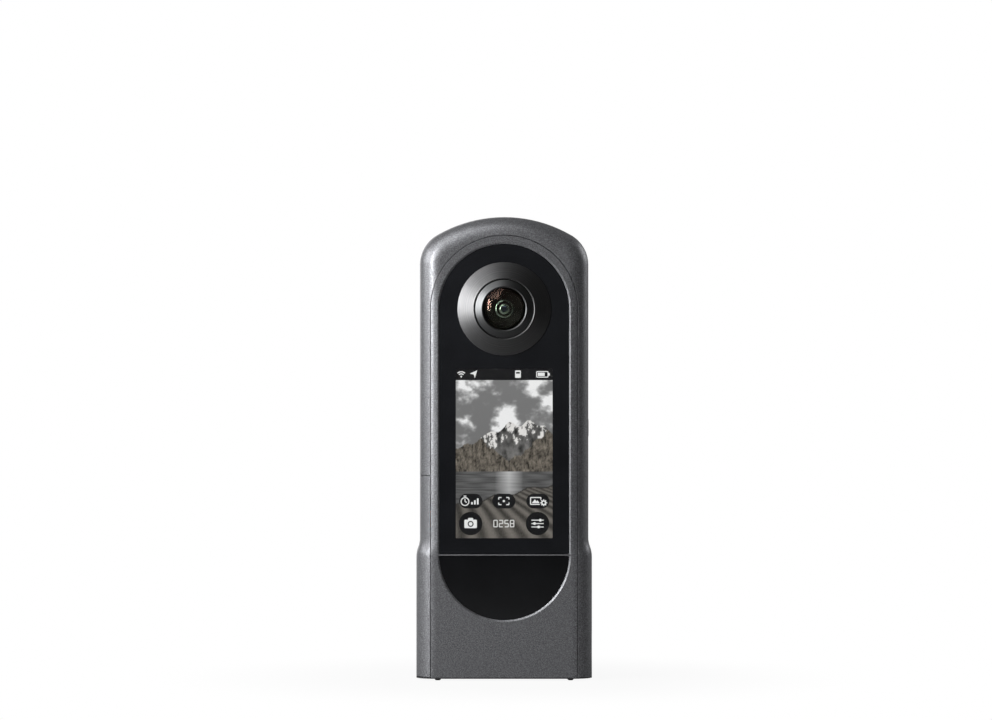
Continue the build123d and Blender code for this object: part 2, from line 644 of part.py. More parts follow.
# Base plate with its dark edge, the tripod bush, the feet and the screws
spigot_y = (FRONT_INSIDE + BACK_INSIDE) / 2
spigot_corner = EDGE_RADIUS - WALL - FIT
base = extrude(RectangleRounded(2 * GRIP_HALF, DEPTH, EDGE_RADIUS), BASE_RIM)
base += Pos(0, spigot_y, BASE_RIM) * extrude(
    RectangleRounded(
        2 * (GRIP_HALF - WALL - FIT), BACK_INSIDE - FRONT_INSIDE - 2 * FIT, spigot_corner
    ),
    BASE_FLOOR,
)
base -= upright(0, 0, BUSH_RADIUS + FIT, -OVERRUN, base_top + OVERRUN)
bush = upright(0, 0, BUSH_RADIUS, 0, BUSH_THREAD + BUSH_END)
bush += upright(0, 0, BUSH_FLANGE, base_top, base_top + BUSH_FLANGE_THICK)
bush -= upright(0, 0, BUSH_BORE, -OVERRUN, BUSH_THREAD)
save("tripod_bush", bush)
feet, base_screws = [], []
for x_side in (-1, 1):
    for y_side in (-1, 1):
        foot_x, foot_y = x_side * FOOT_X, y_side * (-FRONT_INSIDE - FOOT_INSET)
        foot = upright(foot_x, foot_y, FOOT_RADIUS, -FOOT_STAND, FOOT_SEAT)
        feet.append(chamfer(foot.edges().sort_by(Axis.Z)[0], FOOT_BEVEL))
        base -= upright(foot_x, foot_y, FOOT_RADIUS + RUN_FIT, -OVERRUN, FOOT_SEAT)
        screw_x, screw_y = x_side * BASE_SCREW_X, base_screw_y[y_side > 0]
        head_top = BASE_SCREW_HEAD_THICK
        screw = upright(screw_x, screw_y, BASE_SCREW_HEAD, 0, head_top)
        tip = head_top + BASE_SCREW_LENGTH
        base_screws.append(screw + small_upright(screw_x, screw_y, BASE_SCREW_RADIUS, 0, tip))
        base -= upright(screw_x, screw_y, BASE_SCREW_HEAD + FIT, -OVERRUN, head_top)
        base -= small_upright(screw_x, screw_y, BASE_SCREW_BORE, -OVERRUN, base_top + OVERRUN)
save("base_plate", base)
save("rubber_feet", *feet)
save("base_screws", *base_screws)

# Cover glass over the display and round the front lens
glass = slab(arch(GLASS_HALF, GLASS_LOW), GLASS_FACE, GLASS_REAR)
save("touch_glass", glass - slab(tube_hole, GLASS_FACE - OVERRUN, GLASS_REAR + OVERRUN))

# Display, the tray that holds it against the shell, and its flex to the main board
display = display_place * RectangleRounded(DISPLAY_WIDTH, display_tall, DISPLAY_CORNER)
save("display_module", slab(display, GLASS_REAR, DISPLAY_REAR))
tray = block(
    mirrored_pair(DISPLAY_WIDTH / 2 + DISPLAY_EDGE),
    (FRONT_INSIDE, TRAY_REAR),
    (DISPLAY_LOW - DISPLAY_EDGE / 2, DISPLAY_HIGH + DISPLAY_EDGE / 2),
)
tray -= slab(display_hole, FRONT_INSIDE - OVERRUN, DISPLAY_REAR)
flex_right = DISPLAY_WIDTH / 2 - DISPLAY_FLEX_INSET
flex_x = (flex_right - DISPLAY_FLEX_WIDTH, flex_right)
flex_low = BOARD_LOW + DISPLAY_FLEX_RISE
flex_z = (flex_low, flex_low + FLEX_THICK)
tray -= block(
    (flex_x[0] - FIT, flex_x[1] + FIT),
    (DISPLAY_REAR - OVERRUN, TRAY_REAR + OVERRUN),
    (flex_z[0] - FIT, flex_z[1] + FIT),
)
save("display_tray", tray)
save("display_flex", block(flex_x, (DISPLAY_REAR, BOARD_FRONT), flex_z))

# Half-moon button: a cap in the opening, a flange behind it, and a plunger
button = slab(moon(), GLASS_FACE, FLANGE_FRONT)
flange_rear = FLANGE_FRONT + MOON_FLANGE_THICK
button += slab(moon(MOON_FLANGE), FLANGE_FRONT, flange_rear)
plunger_place = Pos(0, (MOON_LOW + MOON_TOP) / 2)
plunger_end = MOON_SWITCH_TOP - RUN_FIT - MOON_TRAVEL
button += slab(plunger_place * Circle(PLUNGER_RADIUS), flange_rear - RUN_FIT, plunger_end)
save("shutter_button", button)
dome_front = MOON_SWITCH_TOP + SWITCH_DOME
switch = slab(plunger_place * Rectangle(SWITCH_SIDE, SWITCH_SIDE), dome_front, BAY_FRONT)
switch_dome = plunger_place * Circle(SWITCH_SIDE * SWITCH_DOME_SHARE / 2)
save("shutter_switch", switch + slab(switch_dome, MOON_SWITCH_TOP, dome_front))

# Buttons in the right side, their switches and the board that carries them
switches = []
for name, (height, length, face_x) in side_buttons.items():
    place = Pos(0, height)
    face = SlotOverall(length, SIDE_BUTTON_WIDTH, rotation=90)
    grow = 2 * SIDE_BUTTON_FLANGE
    flange = SlotOverall(length + grow, SIDE_BUTTON_WIDTH + grow, rotation=90)
    side_button = side_slab(place * face, SIDE_FLANGE_FACE, face_x)
    side_button += side_slab(
        place * flange, SIDE_FLANGE_FACE - SIDE_FLANGE_THICK, SIDE_FLANGE_FACE
    )
    save(name, side_button)
    body = Rectangle(SIDE_SWITCH_WIDTH, SIDE_SWITCH_WIDTH)
    switches.append(side_slab(place * body, SIDE_BOARD_FACE, SIDE_SWITCH_TOP))
save("side_switches", *switches)
save(
    "side_board",
    block(
        (WING_FACE, SIDE_BOARD_FACE),
        mirrored_pair(SIDE_BOARD_WIDTH / 2),
        (SIDE_BOARD_LOW, SIDE_BOARD_HIGH),
    ),
)

# Battery, its tray, the contacts in the tray's end and the catch over its mouth
battery_z = (BATTERY_LOW, BATTERY_HIGH)
battery = block((BATTERY_LEFT, BATTERY_RIGHT), (BATTERY_FRONT, BATTERY_REAR), battery_z)
save("battery", fillet(battery.edges().filter_by(Axis.Z), BATTERY_CORNER))
bay = block((BATTERY_LEFT, BAY_RIGHT + BAY_WALL), (BAY_FRONT, BAY_REAR), (BAY_LOW, BAY_HIGH))
bay -= block(
    (BATTERY_LEFT - OVERRUN, BAY_RIGHT),
    (BAY_FRONT + BAY_WALL, BAY_REAR - BAY_WALL),
    (BAY_LOW + BAY_WALL, BAY_HIGH - BAY_WALL),
)
bay_middle = (BAY_FRONT + BAY_REAR) / 2
contact_half = (CONTACT_COUNT - 1) * CONTACT_PITCH / 2 + CONTACT_WINDOW
contact_middle = BATTERY_LOW + CONTACT_RISE
contact_z = (contact_middle - CONTACT_TALL / 2, contact_middle + CONTACT_TALL / 2)
bay -= block(
    (BAY_RIGHT - OVERRUN, BAY_RIGHT + BAY_WALL + OVERRUN),
    (bay_middle - contact_half, bay_middle + contact_half),
    (contact_z[0] - CONTACT_WINDOW, contact_z[1] + CONTACT_WINDOW),
)
save("battery_tray", bay)
block_left = BAY_RIGHT + BAY_WALL
contacts = block(
    (block_left, block_left + CONTACT_BLOCK),
    (bay_middle - contact_half - CONTACT_WINDOW, bay_middle + contact_half + CONTACT_WINDOW),
    (contact_z[0] - 2 * CONTACT_WINDOW, contact_z[1] + 2 * CONTACT_WINDOW),
)
for blade in range(CONTACT_COUNT):
    blade_y = bay_middle + (blade - (CONTACT_COUNT - 1) / 2) * CONTACT_PITCH
    contacts += block(
        (BATTERY_RIGHT + RUN_FIT, block_left + CONTACT_BLOCK),
        (blade_y - CONTACT_WIDTH / 2, blade_y + CONTACT_WIDTH / 2),
        contact_z,
    )
save("battery_contacts", contacts)
catch_front = BATTERY_FRONT + CATCH_BEHIND_FACE
catch_y = (catch_front, catch_front + CATCH_WIDTH)
tail_low = BAY_HIGH + CATCH_GAP
tail_high = tail_low + CATCH_TAIL_THICK
catch_low = BATTERY_HIGH - CATCH_HOLD
catch = block((CATCH_RIGHT - CATCH_THICK, CATCH_RIGHT), catch_y, (catch_low, tail_high))
catch += block((CATCH_RIGHT, CATCH_RIGHT + CATCH_TAIL), catch_y, (tail_low, tail_high))
save("battery_catch", catch)

# Memory card in its spring socket, with room to be pushed in
socket_left = CARD_LEFT + CARD_STANDOUT
card_right = CARD_LEFT + CARD_LENGTH
card_z = (CARD_LOW, CARD_LOW + CARD_WIDTH)
card_rear = BOARD_FRONT - SOCKET_SKIN - CARD_PLAY
card_front = card_rear - CARD_THICK
save("memory_card", block((CARD_LEFT, card_right), (card_front, card_rear), card_z))
cavity_right = card_right + CARD_TRAVEL + CARD_PLAY
cavity_y = (card_front - CARD_PLAY, card_rear + CARD_PLAY)
cavity_z = (card_z[0] - CARD_PLAY, card_z[1] + CARD_PLAY)
socket = block(
    (socket_left, cavity_right + SOCKET_END),
    (min(BOARD_FRONT - SOCKET_THICK, cavity_y[0] - SOCKET_SKIN), BOARD_FRONT),
    (cavity_z[0] - SOCKET_SKIN, cavity_z[1] + SOCKET_SKIN),
)
socket -= block((socket_left - OVERRUN, cavity_right), cavity_y, cavity_z)
save("card_socket", socket)

# Inner frame: a plate behind the boards, a pad for the port and a wing for the buttons
chassis = block((BATTERY_LEFT, WING_FACE), (BAY_REAR, CHASSIS_REAR), (BAY_LOW, CHASSIS_TOP))
chassis -= block(
    mirrored_pair(WINDOW_WIDTH / 2),
    (BAY_REAR - OVERRUN, CHASSIS_REAR + OVERRUN),
    (WINDOW_LOW, WINDOW_LOW + WINDOW_HEIGHT),
)
wing_y = (-SIDE_BOARD_WIDTH / 2 - WING_EDGE, CHASSIS_REAR)
chassis += block((WING_INSIDE, WING_FACE), wing_y, (SIDE_BOARD_LOW, SIDE_BOARD_HIGH))
port_board_z = (PORT_HEIGHT - PORT_BOARD_BELOW, PORT_HEIGHT + PORT_BOARD_ABOVE)
pad_front = PORT_BOARD_FRONT + BOARD_THICK
chassis += block((PORT_BOARD_LEFT, WING_FACE), (pad_front, CHASSIS_REAR), port_board_z)
board_right = WING_INSIDE - BOARD_SIDE_GAP
main_board = block((BATTERY_LEFT, board_right), (BOARD_FRONT, BAY_REAR), (BOARD_LOW, CHASSIS_TOP))
screws = []
for place in posts:
    hole = slab(place * small_round(SCREW_HOLE), BOARD_FRONT - OVERRUN, CHASSIS_REAR + OVERRUN)
    chassis -= hole
    main_board -= hole
    head_front = BOARD_FRONT - SCREW_HEAD_THICK
    screw = slab(place * small_round(SCREW_HEAD), head_front, BOARD_FRONT)
    shank = slab(place * small_round(SCREW_RADIUS), BOARD_FRONT, BOARD_FRONT + SCREW_LENGTH)
    screws.append(screw + shank)
save("chassis", chassis)
save("main_board", main_board)
save("chassis_screws", *screws)
cans = []
can_z = (BOARD_LOW + CAN_RISE, LENS_HEIGHT - CANS_UNDER_LENS)
for can_x, can_front in (
    ((CAN_A_LEFT, POST_X - CAN_TO_POST), HEAT_THICK / 2),
    ((CAN_TO_POST - POST_X, CAN_B_RIGHT), BOARD_FRONT - CAN_B_THICK),
):
    can = block(can_x, (can_front, BOARD_FRONT), can_z)
    cans.append(fillet(can.edges().filter_by(Axis.Y), CAN_CORNER))
save("board_shields", *cans)

# Port: a metal sleeve with its tongue, and the small board behind it
port_left = PORT_FACE - PORT_DEEP
sleeve = SlotOverall(PORT_LENGTH, PORT_WIDTH, rotation=90)
mouth = SlotOverall(PORT_LENGTH - 2 * PORT_SKIN, PORT_WIDTH - 2 * PORT_SKIN, rotation=90)
port = side_slab(Pos(0, PORT_HEIGHT) * sleeve, port_left, PORT_FACE)
port -= side_slab(Pos(0, PORT_HEIGHT) * mouth, port_left + PORT_FLOOR, PORT_FACE + OVERRUN)
port += block(
    (port_left, PORT_FACE - TONGUE_SETBACK),
    mirrored_pair(TONGUE_THICK / 2),
    (PORT_HEIGHT - TONGUE_LENGTH / 2, PORT_HEIGHT + TONGUE_LENGTH / 2),
)
save("usb_socket", port)
port_board_right = GRIP_HALF - WALL - BOARD_SIDE_GAP
save(
    "usb_board",
    block((PORT_BOARD_LEFT, port_board_right), (PORT_BOARD_FRONT, pad_front), port_board_z),
)

# Speaker, microphones, status lamp and antenna
speaker_x = mirrored_pair(SPEAKER_WIDTH / 2)
speaker_z = (SPEAKER_LOW, SPEAKER_LOW + SPEAKER_HEIGHT)
save("speaker", block(speaker_x, (CHASSIS_REAR, BACK_INSIDE - RUN_FIT), speaker_z))
mic_top = TOP_RADIUS - WALL - FIT
save(
    "microphones",
    *[place * upright(0, 0, MIC_RADIUS, mic_top - MIC_THICK, mic_top) for place in mic_places],
)
lamp = slab(lamp_place * Circle(LAMP_RADIUS), BACK_INSIDE - RUN_FIT, BACK)
lamp += slab(
    lamp_place * Circle(LAMP_FLANGE), BACK_INSIDE - RUN_FIT - LAMP_FLANGE_THICK, BACK_INSIDE - RUN_FIT
)
save("status_lamp", lamp)
antenna_out = TOP_RADIUS - WALL - FIT
band = Circle(antenna_out) - Circle(antenna_out - ANTENNA_THICK)
band &= Pos(0, TOP_RADIUS) * Rectangle(2 * ANTENNA_HALF, TOP_RADIUS)
save("antenna", slab(Pos(0, TOP_CENTRE) * band, *mirrored_pair(ANTENNA_DEEP / 2)))

# The two lenses are alike, back to back. Each piece is drawn at the front.
cone_edge = GLASS_FACE
cone_top = cone_edge - CONE_RIM - CONE_RISE
ring_out = CONE_BORE - RING_GAP
ring_edge = cone_top + RING_DROP
ring_top = ring_edge - RING_RISE
dome_edge = FRONT - LENS_STANDOUT + DOME_RISE
dome_seat = dome_edge + DOME_EDGE
ring_bottom = dome_edge + DOME_EDGE + RING_HEIGHT
tube_end = cone_edge + CONE_TUBE_LENGTH
shoulder_bore = CONE_BORE - CONE_SHOULDER
cone = turned(
    (CONE_RADIUS, cone_edge),
    (CONE_RADIUS, cone_edge - CONE_RIM),
    (CONE_BORE + CONE_LIP, cone_top),
    (CONE_BORE, cone_top + CONE_LIP_DROP),
    (CONE_BORE, ring_bottom),
    (shoulder_bore, ring_bottom),
    (shoulder_bore, tube_end),
    (CONE_TUBE_RADIUS, tube_end),
    (CONE_TUBE_RADIUS, cone_edge),
)
dome_bore = DOME_RADIUS + FIT
seat_bore = DOME_RADIUS - SEAT_WIDTH
ring = turned(
    (ring_out, ring_bottom),
    (ring_out, ring_edge),
    (dome_bore + RING_SKIN, ring_top),
    (dome_bore, ring_top + RING_SKIN_DROP),
    (dome_bore, dome_seat),
    (seat_bore, dome_seat),
    (seat_bore, ring_bottom),
)
dome = cap(DOME_RADIUS, DOME_RISE, dome_edge)
dome += slab(Pos(0, LENS_HEIGHT) * Circle(DOME_RADIUS), dome_edge, dome_seat)
dome -= cap(DOME_RADIUS - DOME_LAND, DOME_HOLLOW, dome_seat)
baffle_out = seat_bore - FIT
baffle = turned(
    (baffle_out, ring_bottom),
    (baffle_out, dome_seat + FIT),
    (baffle_out - BAFFLE_SKIN, dome_seat + FIT),
    (BAFFLE_BORE, ring_bottom - BAFFLE_SKIN),
    (BAFFLE_BORE, ring_bottom),
)
board_front = -(HEAT_THICK / 2 + SENSOR_BOARD_THICK)
barrel_end = board_front - SENSOR_THICK - SENSOR_GAP
barrel = turned(
    (BARREL_BORE, ring_bottom),
    (BARREL_RADIUS, ring_bottom),
    (BARREL_RADIUS, barrel_end),
    (BARREL_BORE, barrel_end),
)


def inside_lens(start, rise, thick):
    """A glass with one bulged side, in the barrel's bore."""
    radius = BARREL_BORE - FIT
    edge = start + rise
    rim = slab(Pos(0, LENS_HEIGHT) * Circle(radius), edge, edge + thick - rise)
    return cap(radius, rise, edge) + rim


inner_lens = inside_lens(ring_bottom + INNER_LENS_START, INNER_LENS_RISE, INNER_LENS_THICK)
relay_lens = inside_lens(barrel_end - RELAY_BACK - RELAY_THICK, RELAY_RISE, RELAY_THICK)
sensor_place = Pos(0, LENS_HEIGHT)
chip = Rectangle(SENSOR_SIDE, SENSOR_SIDE)
sensor_board = Rectangle(SENSOR_BOARD_SIDE, SENSOR_BOARD_SIDE)
sensor = slab(sensor_place * chip, board_front - SENSOR_THICK, board_front)
sensor += slab(sensor_place * sensor_board, board_front, -HEAT_THICK / 2)
lens_pieces = {
    "lens_cone": cone,
    "lens_ring": ring,
    "lens_dome": dome,
    "lens_baffle": baffle,
    "inner_lens": inner_lens,
    "lens_barrel": barrel,
    "relay_lens": relay_lens,
    "image_sensor": sensor,
}
for name, piece in lens_pieces.items():
    save(f"front_{name}", piece)
    save(f"rear_{name}", Rot(0, 0, 180) * piece)

# Heat plate between the sensor boards, down to the can over the processor
heat_z = (BOARD_LOW + HEAT_RISE, LENS_HEIGHT + HEAT_ABOVE)
save(
    "heat_plate",
    block(mirrored_pair(HEAT_WIDTH / 2), mirrored_pair(HEAT_THICK / 2), heat_z),
)

# A flex from each sensor board to the main board
sensor_low = LENS_HEIGHT - SENSOR_BOARD_SIDE / 2
flex_half = mirrored_pair(SENSOR_FLEX_WIDTH / 2)
front_y = (-HEAT_THICK / 2 - FLEX_THICK, -HEAT_THICK / 2)
front_low = BOARD_LOW + FRONT_FLEX_RISE
front_flex = block(flex_half, front_y, (front_low, sensor_low))
front_flex += block(flex_half, (front_y[0], BOARD_FRONT), (front_low, front_low + FLEX_THICK))
rear_board = HEAT_THICK / 2 + SENSOR_BOARD_THICK
rear_y = (rear_board - FLEX_THICK, rear_board)
rear_low = LENS_HEIGHT - REAR_FLEX_UNDER_LENS
rear_flex = block(flex_half, rear_y, (rear_low, sensor_low))
rear_flex += block(flex_half, (rear_y[0], BOARD_FRONT), (rear_low, rear_low + FLEX_THICK))
save("sensor_flexes", front_flex, rear_flex)
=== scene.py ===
import bpy
import bmesh
from math import cos, hypot, pi, radians, sin
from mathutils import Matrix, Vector, noise


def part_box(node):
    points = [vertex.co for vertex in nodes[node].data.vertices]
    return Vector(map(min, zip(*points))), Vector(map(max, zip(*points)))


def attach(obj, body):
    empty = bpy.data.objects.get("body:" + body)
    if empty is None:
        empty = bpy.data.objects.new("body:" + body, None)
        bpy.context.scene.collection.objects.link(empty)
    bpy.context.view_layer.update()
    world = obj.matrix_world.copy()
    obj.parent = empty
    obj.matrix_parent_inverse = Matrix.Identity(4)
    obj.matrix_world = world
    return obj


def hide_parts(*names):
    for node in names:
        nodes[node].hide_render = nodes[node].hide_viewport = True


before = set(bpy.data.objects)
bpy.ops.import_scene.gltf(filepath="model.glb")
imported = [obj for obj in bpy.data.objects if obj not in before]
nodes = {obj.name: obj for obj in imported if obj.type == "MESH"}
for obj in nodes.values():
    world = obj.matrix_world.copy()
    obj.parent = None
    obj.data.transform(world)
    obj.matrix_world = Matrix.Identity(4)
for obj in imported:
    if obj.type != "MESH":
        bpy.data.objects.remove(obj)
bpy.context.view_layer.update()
MM = 0.001

# Side frame: the cast magnesium band that runs up one side, over the crown and down
# the other. It is sprayed with a dark grey metallic paint whose flakes show as a fine
# sparkle, and the front, the back and the battery door get the same coat.
SHELL_COLOUR = (0.150, 0.152, 0.160)
# The last size is how far round the edges the paint is drawn brighter, as wear and painted
# highlight.
FLAKE_MM, FLAKE_DEPTH_MM, ORANGE_PEEL_MM, WORN_HIGHLIT_EDGE_MM = 0.30, 0.012, 0.5, 0.12


def new_material(name):
    """A fresh material, with its shading parts and the links between them."""
    made = bpy.data.materials.new(name)
    made.use_nodes = True
    return made, made.node_tree.nodes, made.node_tree.links


def set_shader(parts, **values):
    """Sets plain values on the shader; an underscore stands for a space in a name."""
    shader = parts["Principled BSDF"]
    for socket, value in values.items():
        shader.inputs[socket.replace("_", " ")].default_value = value
    return shader


def surface_place(parts):
    """Where a spot lies on its piece."""
    return parts.new("ShaderNodeTexCoord").outputs["Object"]


def grain(parts, links, place, size_mm, detail=2.0):
    """A cloudy pattern with spots of one size."""
    cloud = parts.new("ShaderNodeTexNoise")
    cloud.inputs["Scale"].default_value = 1.0 / (size_mm * MM)
    cloud.inputs["Detail"].default_value = detail
    links.new(place, cloud.inputs["Vector"])
    return cloud.outputs["Fac"]


def tones(parts, links, factor, stops):
    """Colours laid along a pattern, each at its own place between 0 and 1."""
    ramp = parts.new("ShaderNodeValToRGB")
    points = ramp.color_ramp.elements
    while len(points) < len(stops):
        points.new(0.5)
    for point, (position, colour) in zip(points, stops):
        point.position = position
        point.color = (*colour, 1.0)
    links.new(factor, ramp.inputs["Fac"])
    return ramp.outputs["Color"]


def shade(colour, share):
    """The colour made darker or lighter by a share, and no brighter than full."""
    return [min(part * share, 1.0) for part in colour]


def varied(parts, links, factor, colour, *stops):
    """One colour along a pattern, shaded at each stop by its share."""
    shaded = [(position, shade(colour, share)) for position, share in stops]
    return tones(parts, links, factor, shaded)


def spread(parts, links, value, low, high, start=0.0, end=1.0):
    """A number that runs from low to high while the value runs from start to end."""
    ranged = parts.new("ShaderNodeMapRange")
    for socket, number in (
        ("From Min", start),
        ("From Max", end),
        ("To Min", low),
        ("To Max", high),
    ):
        ranged.inputs[socket].default_value = number
    links.new(value, ranged.inputs["Value"])
    return ranged.outputs["Result"]


def relief(parts, links, height, depth_mm, strength=1.0, base_normal=None):
    """Fine ups and downs of the surface that follow a pattern."""
    bump = parts.new("ShaderNodeBump")
    bump.inputs["Distance"].default_value = depth_mm * MM
    bump.inputs["Strength"].default_value = strength
    links.new(height, bump.inputs["Height"])
    if base_normal:
        links.new(base_normal, bump.inputs["Normal"])
    return bump.outputs["Normal"]


def worn_highlit_edges(parts, links, radius_mm):
    """Edges turned softly round, and a share along them for wear and a painted highlight."""
    soft = parts.new("ShaderNodeBevel")
    soft.samples = 4
    soft.inputs["Radius"].default_value = radius_mm * MM
    plain = parts.new("ShaderNodeNewGeometry")
    alike = parts.new("ShaderNodeVectorMath")
    alike.operation = "DOT_PRODUCT"
    links.new(soft.outputs["Normal"], alike.inputs[0])
    links.new(plain.outputs["Normal"], alike.inputs[1])
    share = spread(parts, links, alike.outputs["Value"], 0.0, 1.0, 0.995, 0.90)
    return soft.outputs["Normal"], share


def metallic_paint(name, colour):
    """Sprayed paint with flakes; edges painted brighter as wear and as a painted highlight."""
    made, parts, links = new_material(name)
    shader = set_shader(
        parts, Metallic=0.72, Roughness=0.42, IOR=1.5, Specular_Tint=(0.6, 0.6, 0.6, 1.0)
    )
    place = surface_place(parts)
    flakes = grain(parts, links, place, FLAKE_MM, 3.0)
    coated = varied(parts, links, flakes, colour, (0.36, 0.68), (0.50, 1.0), (0.66, 1.5))
    edge_normal, wear_and_highlight_share = worn_highlit_edges(parts, links, WORN_HIGHLIT_EDGE_MM)
    # The edges are painted brighter: partly wear, partly a painted highlight on the rounded
    # edges.
    rubbed_and_highlit = parts.new("ShaderNodeMix")
    rubbed_and_highlit.data_type = "RGBA"
    rubbed_and_highlit.inputs["B"].default_value = (*shade(colour, 1.5), 1.0)
    links.new(wear_and_highlight_share, rubbed_and_highlit.inputs["Factor"])
    links.new(coated, rubbed_and_highlit.inputs["A"])
    links.new(rubbed_and_highlit.outputs["Result"], shader.inputs["Base Color"])
    orange_peel = grain(parts, links, place, ORANGE_PEEL_MM)
    links.new(spread(parts, links, orange_peel, 0.36, 0.47), shader.inputs["Roughness"])
    flaked = relief(parts, links, flakes, FLAKE_DEPTH_MM, 0.5, edge_normal)
    links.new(flaked, shader.inputs["Normal"])
    return made


def coat(material, *solids):
    """Gives whole solids one finish."""
    for thing in [nodes[solid] for solid in solids]:
        if not thing.material_slots:
            thing.data.materials.append(material)
        for slot in thing.material_slots:
            slot.material = material


shell_grey = metallic_paint("shell_grey", SHELL_COLOUR)
coat(shell_grey, "side_frame")

# Front shell: the arch-shaped front, moulded in glass-filled plastic with the ledge for
# the cover glass and the thin bar under it, and painted with the band.
coat(shell_grey, "front_shell")

# Rear shell: the same arch at the back, with the seat of the rear lens, the speaker's
# slots and the posts that the inner frame is screwed to.
coat(shell_grey, "rear_shell")

# Battery door: the lower left of the band on a hidden hinge, painted like the rest. Its
# pin is a plain steel wire, and the ribbed slide that locks it is painted a darker grey.
coat(shell_grey, "battery_door")
button_grey = metallic_paint("button_grey", (0.125, 0.127, 0.134))
latch_grey = metallic_paint("latch_grey", (0.045, 0.046, 0.050))
coat(latch_grey, "door_latch")


def bare_metal(name, colour, rough, line_mm=(0.05, 0.05, 1.2)):
    """Metal with fine tool lines, of the given size along each axis."""
    made, parts, links = new_material(name)
    shader = set_shader(parts, Metallic=1.0, Roughness=rough)
    stretched = parts.new("ShaderNodeMapping")
    stretched.inputs["Scale"].default_value = [1.0 / (size * MM) for size in line_mm]
    links.new(surface_place(parts), stretched.inputs["Vector"])
    lines = parts.new("ShaderNodeTexNoise")
    lines.inputs["Scale"].default_value = 1.0
    lines.inputs["Detail"].default_value = 2.0
    links.new(stretched.outputs["Vector"], lines.inputs["Vector"])
    line = lines.outputs["Fac"]
    brushed = varied(parts, links, line, colour, (0.3, 0.82), (0.7, 1.12))
    links.new(brushed, shader.inputs["Base Color"])
    polish = spread(parts, links, line, rough * 0.75, rough * 1.3)
    links.new(polish, shader.inputs["Roughness"])
    return made


steel = bare_metal("steel", (0.56, 0.55, 0.53), 0.28)
coat(steel, "door_hinge_pin")

# Side buttons: two small painted keys in the right side, one a little proud of it and the
# larger one a little sunk. They press on tact switches on a narrow board behind the wall.
coat(button_grey, "power_button", "mode_button")

# Base plate: a dark moulded plate with a fine spark texture, let in under the shells so
# that only its thin edge shows from the front.


def moulded(name, colour, rough=0.5, grain_mm=0.16, depth_mm=0.02):
    """Plastic or rubber with the fine texture that its mould was given."""
    made, parts, links = new_material(name)
    shader = set_shader(parts, Roughness=rough, IOR=1.49)
    spark = grain(parts, links, surface_place(parts), grain_mm, 3.0)
    speckled = varied(parts, links, spark, colour, (0.3, 0.8), (0.7, 1.25))
    links.new(speckled, shader.inputs["Base Color"])
    gloss = spread(parts, links, spark, rough * 0.85, rough * 1.15)
    links.new(gloss, shader.inputs["Roughness"])
    links.new(relief(parts, links, spark, depth_mm, 0.6), shader.inputs["Normal"])
    return made


dark_plastic = moulded("dark_plastic", (0.018, 0.018, 0.020))
coat(dark_plastic, "base_plate")

# Rubber feet: four small round feet, moulded in black rubber and glued into shallow seats
# in the base plate, so that the camera stands without sliding.
rubber = moulded("rubber", (0.020, 0.020, 0.020), 0.75, 0.1, 0.02)
coat(rubber, "rubber_feet")

# Tripod bush: a turned steel bush, held in the base by its flange. Its thread is cut by a
# tap, a quarter of an inch across with twenty turns to the inch, and its mouth is
# countersunk.
bush_low, bush_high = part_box("tripod_bush")
THREAD_PITCH, THREAD_FLANKS = 1.27 * MM, 0.875
THREAD_MINOR, THREAD_MAJOR = 2.55 * MM, 3.17 * MM
THREAD_TOP, AXIS_HOLE = 5.4 * MM, 0.02 * MM
BUSH_RADIUS, BUSH_MOUTH, BUSH_EDGE = 4.6 * MM, 3.4 * MM, 0.2 * MM
FLANGE_RADIUS, FLANGE_LOW, FLANGE_HIGH = 7.0 * MM, 1.95 * MM, 2.75 * MM
TURN_STEPS, THREAD_ROWS = 72, 60
SAME_SPOT = 0.001 * MM


def ring_of_points(x, y, radius, count, start=0.0, turn=2 * pi):
    """Flat points round a middle, from the start angle on through the turn."""
    angles = [start + turn * step / count for step in range(count)]
    return [(x + radius * cos(angle), y + radius * sin(angle)) for angle in angles]


def wall(building, lower, upper):
    """Joins two loops of corners with a band of faces."""
    for here in range(len(lower)):
        after = (here + 1) % len(lower)
        building.faces.new((lower[here], lower[after], upper[after], upper[here]))


def level_loop(building, centre, outline, z):
    """New corners along a flat outline, round a centre and at one height."""
    return [building.verts.new((centre[0] + x, centre[1] + y, z)) for x, y in outline]


def stack(building, centre, profile, first=None):
    """Stands outlines at their heights, each walled to the next, and gives the last."""
    below = first
    for outline, z in profile:
        above = level_loop(building, centre, outline, z)
        if below:
            wall(building, below, above)
        below = above
    return below


def closed_mesh(name, building):
    """The mesh of a finished build, with all its faces looking outwards."""
    bmesh.ops.recalc_face_normals(building, faces=building.faces[:])
    mesh = bpy.data.meshes.new(name)
    building.to_mesh(mesh)
    building.free()
    return mesh


def put(name, mesh, body, material, smooth=False):
    """A mesh as a piece of the camera, in its place, on its body."""
    piece = bpy.data.objects.new(name, mesh)
    bpy.context.scene.collection.objects.link(piece)
    mesh.materials.append(material)
    if smooth:
        mesh.shade_smooth()
    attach(piece, body)
    return piece


def thread_outline(z):
    """The tapped hole at one height: its groove goes once round in a pitch."""
    outline = []
    for step in range(TURN_STEPS):
        share = (z / THREAD_PITCH - step / TURN_STEPS) % 1.0
        groove = max(0.0, 1 - abs(2 * share - 1) / THREAD_FLANKS)
        radius = THREAD_MINOR + (THREAD_MAJOR - THREAD_MINOR) * groove
        radius = max(radius, BUSH_MOUTH - (z - bush_low.z))
        angle = 2 * pi * step / TURN_STEPS
        outline.append((radius * cos(angle), radius * sin(angle)))
    return outline


def bush_round(radius):
    return ring_of_points(0.0, 0.0, radius, TURN_STEPS)


